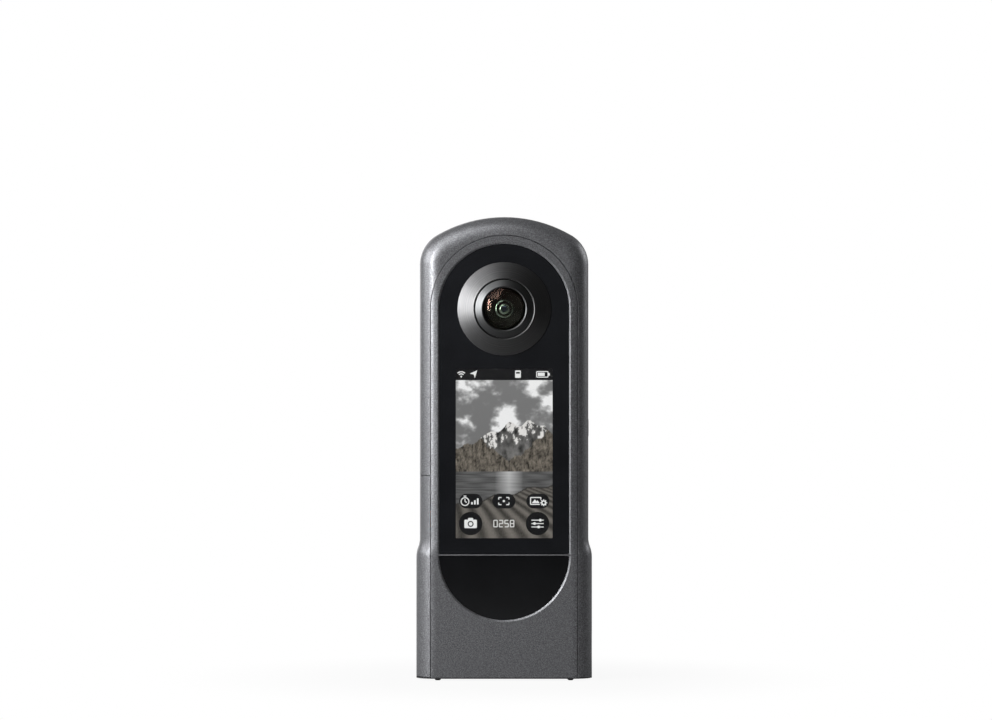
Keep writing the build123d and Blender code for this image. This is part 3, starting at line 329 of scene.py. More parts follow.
thread_rise = THREAD_TOP - bush_low.z
thread_levels = [bush_low.z + thread_rise * row / THREAD_ROWS for row in range(THREAD_ROWS + 1)]
bush_inside = [(thread_outline(z), z) for z in thread_levels]
bush_inside.append((bush_round(AXIS_HOLE), THREAD_TOP))
bush_outside = [
    (bush_round(radius), z)
    for radius, z in (
        (AXIS_HOLE, bush_high.z),
        (BUSH_RADIUS - BUSH_EDGE, bush_high.z),
        (BUSH_RADIUS, bush_high.z - BUSH_EDGE),
        (BUSH_RADIUS, FLANGE_HIGH),
        (FLANGE_RADIUS, FLANGE_HIGH),
        (FLANGE_RADIUS, FLANGE_LOW),
        (BUSH_RADIUS, FLANGE_LOW),
        (BUSH_RADIUS, bush_low.z),
        (BUSH_MOUTH, bush_low.z),
    )
]
bush_build = bmesh.new()
for bush_side in (bush_inside, bush_outside):
    stack(bush_build, (0.0, 0.0), bush_side)
bmesh.ops.remove_doubles(bush_build, verts=bush_build.verts[:], dist=SAME_SPOT)
bmesh.ops.holes_fill(bush_build, edges=bush_build.edges[:], sides=TURN_STEPS)
bush_mesh = closed_mesh("threaded_bush", bush_build)
bush = put("threaded_bush", bush_mesh, "housing", steel)
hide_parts("tripod_bush")

# Base screws: four small steel screws that hold the base plate. Each has a low head with
# a softened rim and a pressed cross recess, and lies in a counterbore.
screws_low, screws_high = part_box("base_screws")
HEAD_RADIUS, HEAD_DEEP, SHANK_RADIUS, SCREW_STEPS = 1.4 * MM, 0.5 * MM, 0.6 * MM, 36
HEAD_RIM, HEAD_RIM_DEEP = 0.15 * MM, 0.1 * MM
RECESS_ARM, RECESS_HALF = 0.85 * MM, 0.17 * MM
RECESS_DEEP, RECESS_TAPER = 0.35 * MM, 0.8


def fill_between(building, loops):
    """Fills a loop of corners, less the loops that lie in it, and gives the faces."""
    edges = [
        building.edges.new(pair) for loop in loops for pair in zip(loop, loop[1:] + loop[:1])
    ]
    filled = bmesh.ops.triangle_fill(building, use_beauty=True, edges=edges)
    return [part for part in filled["geom"] if isinstance(part, bmesh.types.BMFace)]


cross = []
for quarter in range(4):
    turn = quarter * pi / 2
    for x, y in (
        (RECESS_ARM, -RECESS_HALF),
        (RECESS_ARM, RECESS_HALF),
        (RECESS_HALF, RECESS_HALF),
    ):
        cross.append((x * cos(turn) - y * sin(turn), x * sin(turn) + y * cos(turn)))
cross_end = [(RECESS_TAPER * x, RECESS_TAPER * y) for x, y in cross]
face_round, head_round, shank_round = [
    ring_of_points(0.0, 0.0, radius, SCREW_STEPS)
    for radius in (HEAD_RADIUS - HEAD_RIM, HEAD_RADIUS, SHANK_RADIUS)
]
face_z = screws_low.z
screw_profile = [
    (head_round, face_z + HEAD_RIM_DEEP),
    (head_round, face_z + HEAD_DEEP),
    (shank_round, face_z + HEAD_DEEP),
    (shank_round, screws_high.z),
]
screw_build = bmesh.new()
for x_side in (-1, 1):
    for screw_y in (screws_low.y + HEAD_RADIUS, screws_high.y - HEAD_RADIUS):
        middle = ((screws_high.x - HEAD_RADIUS) * x_side, screw_y)
        rim = level_loop(screw_build, middle, face_round, face_z)
        recess = level_loop(screw_build, middle, cross, face_z)
        fill_between(screw_build, [rim, recess])
        recess_end = stack(screw_build, middle, [(cross_end, face_z + RECESS_DEEP)], recess)
        screw_build.faces.new(recess_end)
        screw_build.faces.new(stack(screw_build, middle, screw_profile, rim))
screw_mesh = closed_mesh("cross_screws", screw_build)
cross_screws = put("cross_screws", screw_mesh, "housing", steel)
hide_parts("base_screws")

# Power sign: a broken ring and a bar, printed in pale ink on the larger side button. It
# is the plain sign that such a key has on any device.
power_low, power_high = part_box("power_button")
power_middle = (power_low + power_high) / 2
POWER_RADIUS, POWER_LINE, POWER_STEPS, POWER_GAP = 0.85 * MM, 0.22 * MM, 28, 1.2
POWER_BAR_LOW, POWER_BAR_HIGH = 0.1 * POWER_RADIUS, 1.25 * POWER_RADIUS
power_face = power_high.x + 0.01 * MM
power_points, power_faces = [], []


def sheet_mesh(name, points, faces):
    """The mesh of listed corners, and of faces that name them by number."""
    mesh = bpy.data.meshes.new(name)
    mesh.from_pydata(points, [], faces)
    return mesh


def bar_corners(half, low, high):
    """The corners of a bar, from its half width and its two ends."""
    return [(-half, low), (half, low), (half, high), (-half, high)]


def add_face(points, faces, corners):
    """One more flat face, with corners of its own."""
    points.extend(corners)
    faces.append(tuple(range(len(points) - len(corners), len(points))))


for step in range(POWER_STEPS + 1):
    angle = pi / 2 + POWER_GAP / 2 + (2 * pi - POWER_GAP) * step / POWER_STEPS
    for radius in (POWER_RADIUS - POWER_LINE, POWER_RADIUS):
        power_points.append((power_face, radius * cos(angle), radius * sin(angle)))
    if step:
        last = 2 * step
        power_faces.append((last - 2, last - 1, last + 1, last))
power_bar = bar_corners(POWER_LINE / 2, POWER_BAR_LOW, POWER_BAR_HIGH)
add_face(power_points, power_faces, [(power_face, y, z) for y, z in power_bar])
power_points = [(x, power_middle.y + y, power_middle.z + z) for x, y, z in power_points]
pale_ink = moulded("pale_ink", (0.62, 0.62, 0.62), 0.5, 0.1, 0.002)
power_mesh = sheet_mesh("power_sign", power_points, power_faces)
put("power_sign", power_mesh, "power", pale_ink)

# Shutter button: the half-moon under the glass, moulded in black and polished, so it
# looks one with the cover glass above it. It presses on a tact switch of its own.


def polished_black(name, colour):
    """A deep gloss with a faint haze, as on lacquer or printed glass."""
    made, parts, links = new_material(name)
    shader = set_shader(parts, Roughness=0.08, IOR=1.45, Specular_IOR_Level=0.38)
    haze = grain(parts, links, surface_place(parts), 9.0, 1.0)
    hazed = varied(parts, links, haze, colour, (0.3, 0.85), (0.7, 1.15))
    links.new(hazed, shader.inputs["Base Color"])
    links.new(spread(parts, links, haze, 0.06, 0.11), shader.inputs["Roughness"])
    return made


button_black = polished_black("button_black", (0.0030, 0.0032, 0.0038))
coat(button_black, "shutter_button")
coat(dark_plastic, "shutter_switch")

# Cover glass: one clear sheet with a ground edge, bonded to the shell. It is printed black
# all round the display's window, and the display is bonded behind the window.


def polished_glass(name, colour, wave_mm, wave_depth_mm, wave_strength):
    """Clear glass with the faint waves that polishing leaves in it."""
    made, parts, links = new_material(name)
    shader = set_shader(parts, Base_Color=(*colour, 1.0), Transmission_Weight=1.0)
    waves = grain(parts, links, surface_place(parts), wave_mm, 1.0)
    wavy = relief(parts, links, waves, wave_depth_mm, wave_strength)
    links.new(wavy, shader.inputs["Normal"])
    return made


clear_glass = polished_glass("clear_glass", (0.97, 0.98, 0.98), 14.0, 0.002, 0.3)
set_shader(clear_glass.node_tree.nodes, IOR=1.45, Roughness=0.0, Specular_IOR_Level=0.38)
mask_black = polished_black("mask_black", (0.0062, 0.0067, 0.0080))
glass_low, glass_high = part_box("touch_glass")
cone_low, cone_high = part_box("front_lens_cone")
lens_z = (cone_low.z + cone_high.z) / 2
LENS_HOLE, GLASS_STEPS = 12.5 * MM, 96
GLASS_BEVEL = 0.12 * MM
WINDOW_HALF, WINDOW_CORNER = 14.2 * MM, 0.3 * MM
WINDOW_LOW, WINDOW_HIGH = 41.8 * MM, 91.6 * MM


def rounded_window(left, right, low, high, corner, steps=6):
    """An upright rectangle with round corners, as a flat outline."""
    outline = []
    for x, z, start in (
        (right - corner, high - corner, 0.0),
        (left + corner, high - corner, pi / 2),
        (left + corner, low + corner, pi),
        (right - corner, low + corner, 3 * pi / 2),
    ):
        for step in range(steps + 1):
            angle = start + pi / 2 * step / steps
            outline.append((x + corner * cos(angle), z + corner * sin(angle)))
    return outline


def arch_points(inset):
    """The glass's outline: straight sides under a half-round top, drawn inset."""
    half, low = glass_high.x - inset, glass_low.z + inset
    angles = [pi * step / GLASS_STEPS for step in range(GLASS_STEPS + 1)]
    crown = [(half * cos(angle), lens_z + half * sin(angle)) for angle in angles]
    return [(half, low)] + crown + [(-half, low)]


def upright_loop(building, outline, y):
    """New corners along an outline that stands upright at one depth."""
    return [building.verts.new((x, y, z)) for x, z in outline]


window = rounded_window(-WINDOW_HALF, WINDOW_HALF, WINDOW_LOW, WINDOW_HIGH, WINDOW_CORNER)
lens_hole = ring_of_points(0.0, lens_z, LENS_HOLE, GLASS_STEPS)
glass_build = bmesh.new()
sheet_loops = []
for y, inset in ((glass_low.y, GLASS_BEVEL), (glass_high.y, 0.0)):
    outlines = (arch_points(inset), lens_hole, window)
    loops = [upright_loop(glass_build, outline, y) for outline in outlines]
    fill_between(glass_build, loops)
    sheet_loops.append(loops)
    for face in fill_between(glass_build, [upright_loop(glass_build, window, y)]):
        face.material_index = 1
(face_edge, face_hole, _), (rear_edge, rear_hole, _) = sheet_loops
bevel_edge = upright_loop(glass_build, arch_points(0.0), glass_low.y + GLASS_BEVEL)
wall(glass_build, face_edge, bevel_edge)
wall(glass_build, bevel_edge, rear_edge)
wall(glass_build, face_hole, rear_hole)
bmesh.ops.remove_doubles(glass_build, verts=glass_build.verts[:], dist=SAME_SPOT)
glass_mesh = closed_mesh("cover_glass", glass_build)
cover_glass = put("cover_glass", glass_mesh, "housing", mask_black)
glass_mesh.materials.append(clear_glass)
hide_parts("touch_glass")

# Display: a small colour panel behind the window. It shows a made-up valley as a picture
# in grey tones, and over it plain signs for the camera's settings.
PICTURE_CELL, SIGN_LAYER = 0.25 * MM, 0.006 * MM
PICTURE_LOW, PICTURE_HIGH = WINDOW_LOW, 88.2 * MM
SHORE, BANK_WIDTH = 0.42, 0.02
panel_y = glass_high.y - 0.02 * MM


def far_ridge(s):
    """Height of the snowy ridge at s across the picture."""
    return 0.66 + 0.075 * sin(2.3 * s + 0.6) + 0.045 * noise.noise(Vector((4.2 * s, 0.3, 0.0)))


def near_ridge(s):
    """Height of the wooded slopes, which fall to a gap near the middle."""
    wide = 0.035 * noise.noise(Vector((7.0 * s, 2.1, 0.0)))
    fine = 0.012 * noise.noise(Vector((31.0 * s, 5.0, 0.0)))
    return SHORE + 0.07 + 0.26 * abs(s - 0.12) ** 1.25 + (wide + fine)


def sky(s, t):
    drift = noise.fractal(Vector((1.5 * s + 0.5 * t, 6.5 * t, 4.0)), 0.8, 2.2, 5)
    cloud = min(max(0.34 + 1.9 * drift, 0.0), 1.0)
    return 0.15 + 0.05 * t + 0.74 * cloud**2.2


def snowy_rock(s, t):
    crag = noise.fractal(Vector((9.0 * s + 4.0 * t, 14.0 * t, 7.0)), 0.7, 2.2, 4)
    snow = 1.0 if crag + 5.5 * (t - far_ridge(s) + 0.05) > 0.12 else 0.0
    return 0.12 + 0.12 * crag + 0.62 * snow


def wooded_slope(s, t, fine):
    trees = noise.fractal(Vector((15.0 * s, 20.0 * t, 3.0)), 0.5, 2.3, 4)
    return 0.105 + 0.12 * trees + 0.06 * fine


def lake(s, t, depth):
    glint = noise.noise(Vector((2.4 * s, 110.0 * t, 9.0)))
    return 0.10 + 0.09 * glint + 0.42 * max(0.0, 1 - 3.4 * abs(s - 0.1)) * (1 - depth)


def ploughed_field(s, depth, fine):
    away = (s + 1.4) / (0.30 + depth)
    furrow = sin(19.0 * away + 3.4 * depth * depth)
    return 0.085 + 0.055 * furrow + 0.03 * fine + 0.02 * depth


def valley(s, t):
    """Brightness and warmth of the made-up picture at s across it and t up it."""
    fine = noise.noise(Vector((46.0 * s, 78.0 * t, 1.0)))
    if t > far_ridge(s):
        return sky(s, t), 0.0
    if t > near_ridge(s):
        return snowy_rock(s, t), 0.03
    if t > SHORE:
        return wooded_slope(s, t, fine), 0.20
    depth = (SHORE - t) / SHORE
    bank = 0.34 - 0.16 * s + 0.03 * sin(9.0 * s)
    if depth < bank:
        return lake(s, t, depth), 0.0
    if depth < bank + BANK_WIDTH:
        return 0.035, 0.1
    return ploughed_field(s, depth, fine), 0.12


columns = round(2 * WINDOW_HALF / PICTURE_CELL)
rows = round((PICTURE_HIGH - PICTURE_LOW) / PICTURE_CELL)
points, faces, inks = [], [], []
for row in range(rows + 1):
    for column in range(columns + 1):
        s, t = 2 * column / columns - 1, row / rows
        z = PICTURE_LOW + t * (PICTURE_HIGH - PICTURE_LOW)
        points.append((s * WINDOW_HALF, panel_y, z))
        bright, warm = valley(s, t)
        bright = max(bright, 0.01)
        inks.append(
            (bright * (1 + warm), bright * (1 + 0.25 * warm), bright * (1 - 0.7 * warm), 1.0)
        )
for row in range(rows):
    for column in range(columns):
        first = row * (columns + 1) + column
        faces.append((first, first + 1, first + columns + 2, first + columns + 1))
picture_mesh = sheet_mesh("display_picture", points, faces)
picture_ink = picture_mesh.color_attributes.new("picture_ink", "FLOAT_COLOR", "POINT")
for spot, ink in enumerate(inks):
    picture_ink.data[spot].color = ink


def lit_panel(name, brightness):
    """A panel that glows in the colours given to its mesh."""
    made, parts, links = new_material(name)
    shader = set_shader(parts, Roughness=0.5, Base_Color=(0.006, 0.006, 0.006, 1.0))
    set_shader(parts, Specular_IOR_Level=0.1, Emission_Strength=brightness)
    ink = parts.new("ShaderNodeVertexColor")
    ink.layer_name = "picture_ink"
    links.new(ink.outputs["Color"], shader.inputs["Emission Color"])
    return made


panel_light = lit_panel("panel_light", 0.9)
put("display_picture", picture_mesh, "housing", panel_light)

# Menu signs: what the panel shows over the picture, as flat shapes in millimetres. A dark
# bar on top holds plain signs, and below are three capsules, two round keys and a count.
WHITE, DARK, CREAM = (0.88, 0.89, 0.88), (0.006, 0.006, 0.007), (0.72, 0.72, 0.70)
BAR_LOW, BAR_HIGH, BAR_HALF = 88.2, 91.6, 14.2
CAPSULE_LOW, CAPSULE_HIGH, CAPSULE_ROUND = 50.55, 54.85, 2.14
LEFT_KEY_X, RIGHT_KEY_X, KEY_Z, KEY_RADIUS = -9.85, 9.8, 46.1, 3.43
signs = []


def sign(outlines, colour=WHITE, layer=2):
    """A flat shape: an outline, less those in it, in one colour and on one layer."""
    signs.append((outlines, colour, layer))


def stroke(path, width, colour=WHITE, layer=2, closed=False):
    """A line of even width along a path, drawn as one strip for each run."""
    runs = list(zip(path, path[1:] + path[:1])) if closed else list(zip(path, path[1:]))
    for (x_a, z_a), (x_b, z_b) in runs:
        length = hypot(x_b - x_a, z_b - z_a)
        side_x = (z_a - z_b) / length * width / 2
        side_z = (x_b - x_a) / length * width / 2
        strip = [
            (x_a + side_x, z_a + side_z),
            (x_a - side_x, z_a - side_z),
            (x_b - side_x, z_b - side_z),
            (x_b + side_x, z_b + side_z),
        ]
        sign([strip], colour, layer)


# Top bar: a fan with a full tip and two arcs, a place arrow, a card and a battery
sign([rounded_window(-BAR_HALF, BAR_HALF, BAR_LOW, BAR_HIGH, 0.2)], DARK, 1)
FAN_X, FAN_Z, FAN_TIP_Z, FAN_TIP, FAN_LINE = -12.6, 89.05, 88.8, 0.45, 0.32
for radius in (FAN_TIP, 1.0, 1.6):
    arc = ring_of_points(FAN_X, FAN_Z, radius, 10, radians(48), radians(93.3))
    if radius > FAN_TIP:
        stroke(arc, FAN_LINE)
    else:
        sign([[(FAN_X, FAN_TIP_Z)] + arc])
sign([[(-7.9, 91.1), (-10.1, 90.1), (-8.95, 89.85), (-8.6, 88.75)]])
card_sign = rounded_window(3.2, 4.9, 88.85, 91.05, 0.25)
sign([card_sign, rounded_window(3.5, 4.6, 90.1, 90.6, 0.1)])
cell_sign = rounded_window(9.4, 13.0, 88.95, 90.85, 0.35)
sign([cell_sign, rounded_window(9.65, 12.75, 89.2, 90.6, 0.2)])
sign([rounded_window(9.85, 11.9, 89.4, 90.4, 0.12)])
sign([rounded_window(13.0, 13.4, 89.5, 90.3, 0.1)])

# Dark grounds of the capsules and of the round keys
for left, right in ((-13.2, -6.4), (-3.5, 3.3), (6.5, 13.25)):
    ground = rounded_window(left, right, CAPSULE_LOW, CAPSULE_HIGH, CAPSULE_ROUND, 10)
    sign([ground], DARK, 1)
for key_x in (LEFT_KEY_X, RIGHT_KEY_X):
    sign([ring_of_points(key_x, KEY_Z, KEY_RADIUS, 40)], DARK, 1)

# Left capsule: a stopwatch and a level bar
WATCH_X, WATCH_Z = -11.5, 52.55
stroke(ring_of_points(WATCH_X, WATCH_Z, 1.15, 24), 0.3, closed=True)
stroke([(WATCH_X, WATCH_Z), (WATCH_X, 53.3)], 0.28)
stroke([(WATCH_X, WATCH_Z), (-10.95, 52.3)], 0.28)
sign([rounded_window(-11.9, -11.1, 54.0, 54.3, 0.1)])
for step in range(3):
    left = -9.7 + 0.85 * step
    sign([rounded_window(left, left + 0.5, 51.7, 52.4 + 0.55 * step, 0.08)])

# Middle capsule: four corners of a frame round a dot
FRAME_X, FRAME_Z = -0.1, 52.7
for x_side in (-1, 1):
    for z_side in (-1, 1):
        x, z = FRAME_X + 1.5 * x_side, FRAME_Z + 1.05 * z_side
        stroke([(x - 0.8 * x_side, z), (x, z), (x, z - 0.6 * z_side)], 0.3)
sign([ring_of_points(FRAME_X, FRAME_Z, 0.35, 16)])

# Right capsule: a small picture and a toothed wheel
picture_sign = rounded_window(7.6, 10.9, 51.6, 53.9, 0.25)
sign([picture_sign, rounded_window(7.9, 10.6, 51.9, 53.6, 0.1)])
sign([[(8.1, 52.1), (9.0, 53.2), (9.5, 52.6), (9.8, 52.95), (10.4, 52.1)]])
WHEEL_X, WHEEL_Z = 11.6, 52.2
wheel = []
for tooth in range(8):
    middle = tooth * pi / 4
    for swing, radius in ((-0.24, 0.72), (-0.16, 1.0), (0.16, 1.0), (0.24, 0.72)):
        angle = middle + swing
        wheel.append((WHEEL_X + radius * cos(angle), WHEEL_Z + radius * sin(angle)))
sign([ring_of_points(WHEEL_X, WHEEL_Z, 1.25, 24)], DARK, 3)
sign([wheel, ring_of_points(WHEEL_X, WHEEL_Z, 0.36, 14)], WHITE, 4)

# Round keys: a camera in the left one, three sliders in the right one
sign([rounded_window(-11.7, -8.0, 44.75, 47.25, 0.35)])
sign([rounded_window(-10.6, -9.1, 47.0, 47.75, 0.25)], WHITE, 3)
sign([ring_of_points(LEFT_KEY_X, 46.0, 0.88, 24)], DARK, 4)
sign([ring_of_points(LEFT_KEY_X, 46.0, 0.56, 20)], WHITE, 5)
for z, knob in ((47.1, 10.6), (46.1, 8.9), (45.1, 10.1)):
    stroke([(8.0, z), (11.6, z)], 0.26)
    sign([ring_of_points(knob, z, 0.42, 16)], WHITE, 3)

# Count between the round keys, each digit drawn with up to seven bars
SEVEN_BARS = {"0": "abcdef", "2": "abged", "5": "afgcd", "8": "abcdefg"}
BAR_ENDS = {
    "a": ((0, 2), (1, 2)),
    "b": ((1, 2), (1, 1)),
    "c": ((1, 1), (1, 0)),
    "d": ((0, 0), (1, 0)),
    "e": ((0, 0), (0, 1)),
    "f": ((0, 1), (0, 2)),
    "g": ((0, 1), (1, 1)),
}
COUNT_X, COUNT_Z = -3.05, 45.15
DIGIT_WIDE, DIGIT_HALF_HIGH, DIGIT_STEP = 1.02, 0.95, 1.62
for position, digit in enumerate("0258"):
    left = COUNT_X + DIGIT_STEP * position
    for bar in SEVEN_BARS[digit]:
        ends = [(left + DIGIT_WIDE * x, COUNT_Z + DIGIT_HALF_HIGH * z) for x, z in BAR_ENDS[bar]]
        stroke(ends, 0.3, CREAM)

sign_build = bmesh.new()
sign_ink = sign_build.loops.layers.float_color.new("picture_ink")
for outlines, colour, layer in signs:
    loops = []
    for outline in outlines:
        in_metres = [(x * MM, z * MM) for x, z in outline]
        loops.append(upright_loop(sign_build, in_metres, panel_y - SIGN_LAYER * layer))
    for face in fill_between(sign_build, loops):
        if face.normal.y > 0:
            face.normal_flip()
        for corner in face.loops:
            corner[sign_ink] = (*colour, 1.0)
sign_mesh = bpy.data.meshes.new("display_signs")
sign_build.to_mesh(sign_mesh)
sign_build.free()
put("display_signs", sign_mesh, "housing", panel_light)
coat(dark_plastic, "display_module", "display_tray")

# Flexes: thin amber polyimide strips that join the display and the two sensors to the
# main board, with their copper tracks showing through.
TRACKS_PER_METRE = 420.0
flex_amber, flex_parts, flex_links = new_material("flex_amber")
flex_shader = set_shader(flex_parts, Roughness=0.35, IOR=1.6)
tracks = flex_parts.new("ShaderNodeTexWave")
tracks.inputs["Scale"].default_value = TRACKS_PER_METRE
tracks.inputs["Distortion"].default_value = 0.0
flex_links.new(surface_place(flex_parts), tracks.inputs["Vector"])
amber_stops = [(0.45, (0.30, 0.13, 0.02)), (0.6, (0.50, 0.22, 0.05))]
tracked = tones(flex_parts, flex_links, tracks.outputs["Fac"], amber_stops)
flex_links.new(tracked, flex_shader.inputs["Base Color"])
coat(flex_amber, "display_flex", "sensor_flexes", "antenna")

# Lens cones: turned aluminium, black anodised, one round each lens. The tool leaves fine
# grooves round the axis, so the metal shines along its radii.


def turned_black(name, colour, rough, groove_mm, lens_axis_z):
    """Dark turned metal whose grooves run round the lens axis."""
    made, parts, links = new_material(name)
    shader = set_shader(parts, Metallic=1.0, Roughness=rough, Anisotropic=0.55)
    set_shader(parts, Specular_Tint=(0.2, 0.2, 0.2, 1.0))
    around = parts.new("ShaderNodeTangent")
    around.direction_type = "RADIAL"
    around.axis = "Y"
    links.new(around.outputs["Tangent"], shader.inputs["Tangent"])
    place = parts.new("ShaderNodeMapping")
    place.inputs["Location"].default_value = (0.0, 0.0, -lens_axis_z)
    links.new(surface_place(parts), place.inputs["Vector"])
    split = parts.new("ShaderNodeSeparateXYZ")
    links.new(place.outputs["Vector"], split.inputs["Vector"])
    flat = parts.new("ShaderNodeCombineXYZ")
    links.new(split.outputs["X"], flat.inputs["X"])
    links.new(split.outputs["Z"], flat.inputs["Y"])
    reach = parts.new("ShaderNodeVectorMath")
    reach.operation = "LENGTH"
    links.new(flat.outputs["Vector"], reach.inputs[0])
    groove = parts.new("ShaderNodeTexNoise")
    groove.noise_dimensions = "1D"
    groove.inputs["Scale"].default_value = 1.0 / (groove_mm * MM)
    groove.inputs["Detail"].default_value = 3.0
    links.new(reach.outputs["Value"], groove.inputs["W"])
    cut = groove.outputs["Fac"]
    turned = varied(parts, links, cut, colour, (0.3, 0.75), (0.7, 1.3))
    links.new(turned, shader.inputs["Base Color"])
    links.new(relief(parts, links, cut, 0.01, 0.5), shader.inputs["Normal"])
    return made


cone_black = turned_black("cone_black", (0.060, 0.060, 0.061), 0.30, 0.16, lens_z)
coat(cone_black, "front_lens_cone", "rear_lens_cone")

# Lens rings: the inner rings that hold the domes, one inside each cone. They are turned
# and anodised like the cones, but cut a little finer.
ring_black = turned_black("ring_black", (0.050, 0.051, 0.052), 0.30, 0.12, lens_z)
coat(ring_black, "front_lens_ring", "rear_lens_ring")

# Lens domes: the bulged outer glass of each lens, with a coating whose reflection tint is
# painted by height: rose above its middle and olive below.
REFLECTION_TINT_TURN = 1.5 * MM
dome_glass, dome_parts, dome_links = new_material("dome_glass")
dome_shader = set_shader(dome_parts, IOR=1.25, Roughness=0.05, Specular_IOR_Level=0.5)
set_shader(dome_parts, Base_Color=(0.93, 0.95, 0.90, 1.0), Transmission_Weight=1.0)
dome_split = dome_parts.new("ShaderNodeSeparateXYZ")
dome_links.new(surface_place(dome_parts), dome_split.inputs["Vector"])
dome_z = dome_split.outputs["Z"]
# Painted reflection tint: rose above the lens axis and olive below it, set by height and not by
# angle.
turn_low, turn_high = lens_z - REFLECTION_TINT_TURN, lens_z + REFLECTION_TINT_TURN
painted_tint_share = spread(dome_parts, dome_links, dome_z, 0.0, 1.0, turn_low, turn_high)
painted_tint_stops = [(0.0, (0.50, 0.48, 0.36)), (1.0, (1.0, 0.62, 0.52))]
painted_reflection_tint = tones(dome_parts, dome_links, painted_tint_share, painted_tint_stops)
dome_links.new(painted_reflection_tint, dome_shader.inputs["Specular Tint"])
coat(dome_glass, "front_lens_dome", "rear_lens_dome")

# Lens funnels and barrels: black mouldings that hold the glasses in line. Their dull faces
# swallow stray light.
lens_black = moulded("lens_black", (0.0022, 0.0024, 0.0020), 0.6, 0.08, 0.01)
set_shader(lens_black.node_tree.nodes, Specular_IOR_Level=0.12)
coat(lens_black, "front_lens_baffle", "rear_lens_baffle")
coat(lens_black, "front_lens_barrel", "rear_lens_barrel")

# Sensors: a dark chip under its own glass behind each lens, soldered to a small board
# that stands against the heat plate.
sensor_dark = polished_black("sensor_dark", (0.020, 0.026, 0.040))
coat(sensor_dark, "front_image_sensor", "rear_image_sensor")

# Inner glasses: small ground lenses behind the dome and in front of the sensor. They are
# coated too, and greenish in the light.
inner_glass = polished_glass("inner_glass", (0.80, 0.90, 0.82), 2.0, 0.0005, 0.2)
inner_parts = inner_glass.node_tree.nodes
set_shader(inner_parts, IOR=1.7, Roughness=0.02, Specular_Tint=(0.70, 1.0, 0.78, 1.0))
coat(inner_glass, "front_inner_lens", "rear_inner_lens")
coat(inner_glass, "front_relay_lens", "rear_relay_lens")

# Lens trim: what the dome shows behind itself, a seat, a bright lip, a bright stop and a
# dark bead of glass. They are turned or ground, and given in millimetres round the axis.
SEAT_OUT, LIP_OUT, LIP_IN, STOP_OUT, STOP_IN = 2.98, 2.58, 2.08, 1.53, 0.86
SEAT_Y, LIP_FOOT_Y, STOP_Y = 10.40, 10.36, 10.22
LIP_RISE, STOP_RISE, BEAD_RISE = 0.40, 0.42, 0.24
TRIM_STEPS, PROFILE_STEPS = 64, 8


def turned_mesh(name, profile, facing):
    """A ring turned round the lens axis from pairs of radius and place along it."""
    corners, skin = [], []
    for step in range(TRIM_STEPS):
        angle = 2 * pi * step / TRIM_STEPS
        for radius, y in profile:
            corners.append(
                (radius * MM * cos(angle), facing * y * MM, lens_z + radius * MM * sin(angle))
            )
    length = len(profile)
    for step in range(TRIM_STEPS):
        here, there = step * length, (step + 1) % TRIM_STEPS * length
        for spot in range(length - 1):
            quad = (here + spot, there + spot, there + spot + 1, here + spot + 1)
            skin.append(quad if facing < 0 else quad[::-1])
    mesh = sheet_mesh(name, corners, skin)
    mesh.validate()
    return mesh


def rounded_step(inside, outside, edge, rise):
    """Profile of a rounded shoulder that rises inwards to a sharp drop."""
    shoulder = []
    for step in range(PROFILE_STEPS + 1):
        angle = pi / 2 * step / PROFILE_STEPS
        radius = outside - (outside - inside) * sin(angle)
        shoulder.append((radius, edge + rise * (1 - cos(angle)) ** 0.8))
    return shoulder + [(inside, edge)]


def round_bead(radius, edge, rise):
    """Profile of a bead from its rim to its top."""
    angles = [pi / 2 * step / PROFILE_STEPS for step in range(PROFILE_STEPS, -1, -1)]
    return [(radius * sin(angle), edge + rise * cos(angle)) for angle in angles]


seat_profile = [(SEAT_OUT, SEAT_Y), (LIP_OUT, SEAT_Y), (LIP_IN, LIP_FOOT_Y), (STOP_OUT, STOP_Y)]
lip_profile = rounded_step(LIP_IN, LIP_OUT, SEAT_Y, LIP_RISE)
stop_profile = rounded_step(STOP_IN, STOP_OUT, STOP_Y, STOP_RISE)
bead_profile = round_bead(STOP_IN, STOP_Y, BEAD_RISE)
stop_satin = bare_metal("stop_satin", (0.24, 0.30, 0.25), 0.16, (0.2, 0.2, 0.2))
lens_trim = (
    ("seat", seat_profile, lens_black, "black_plastic"),
    ("lip", lip_profile, stop_satin, "lens_glass"),
    ("stop", stop_profile, stop_satin, "lens_glass"),
    ("bead", bead_profile, sensor_dark, "lens_glass"),
)
for side, facing in (("front", -1), ("rear", 1)):
    for part_name, profile, finish, slot_name in lens_trim:
        piece_name = f"{side}_lens_{part_name}"
        trim_mesh = turned_mesh(piece_name, profile, facing)
        put(piece_name, trim_mesh, "housing", finish, True)

# Heat plate: cut from copper sheet and brushed. It reaches from between the two sensor
# boards down to the processor, and spreads their warmth.
copper = bare_metal("copper", (0.70, 0.33, 0.19), 0.32)
coat(copper, "heat_plate")

# Inner frame: die-cast in a light alloy, and left bare and slightly frosted by the mould.
# The screws in it, the cans on the board and the card's socket are steel.
cast_frame = bare_metal("cast_frame", (0.42, 0.42, 0.43), 0.5, (0.3, 0.3, 0.3))
coat(cast_frame, "chassis")
coat(steel, "chassis_screws", "board_shields", "card_socket")

# Boards: glass cloth in resin, under copper tracks and a green solder mask. The weave of
# the cloth shows faintly through the mask.
board_green = moulded("board_green", (0.010, 0.070, 0.030), 0.38, 0.5, 0.01)
coat(board_green, "main_board", "side_board", "usb_board")
coat(dark_plastic, "side_switches")

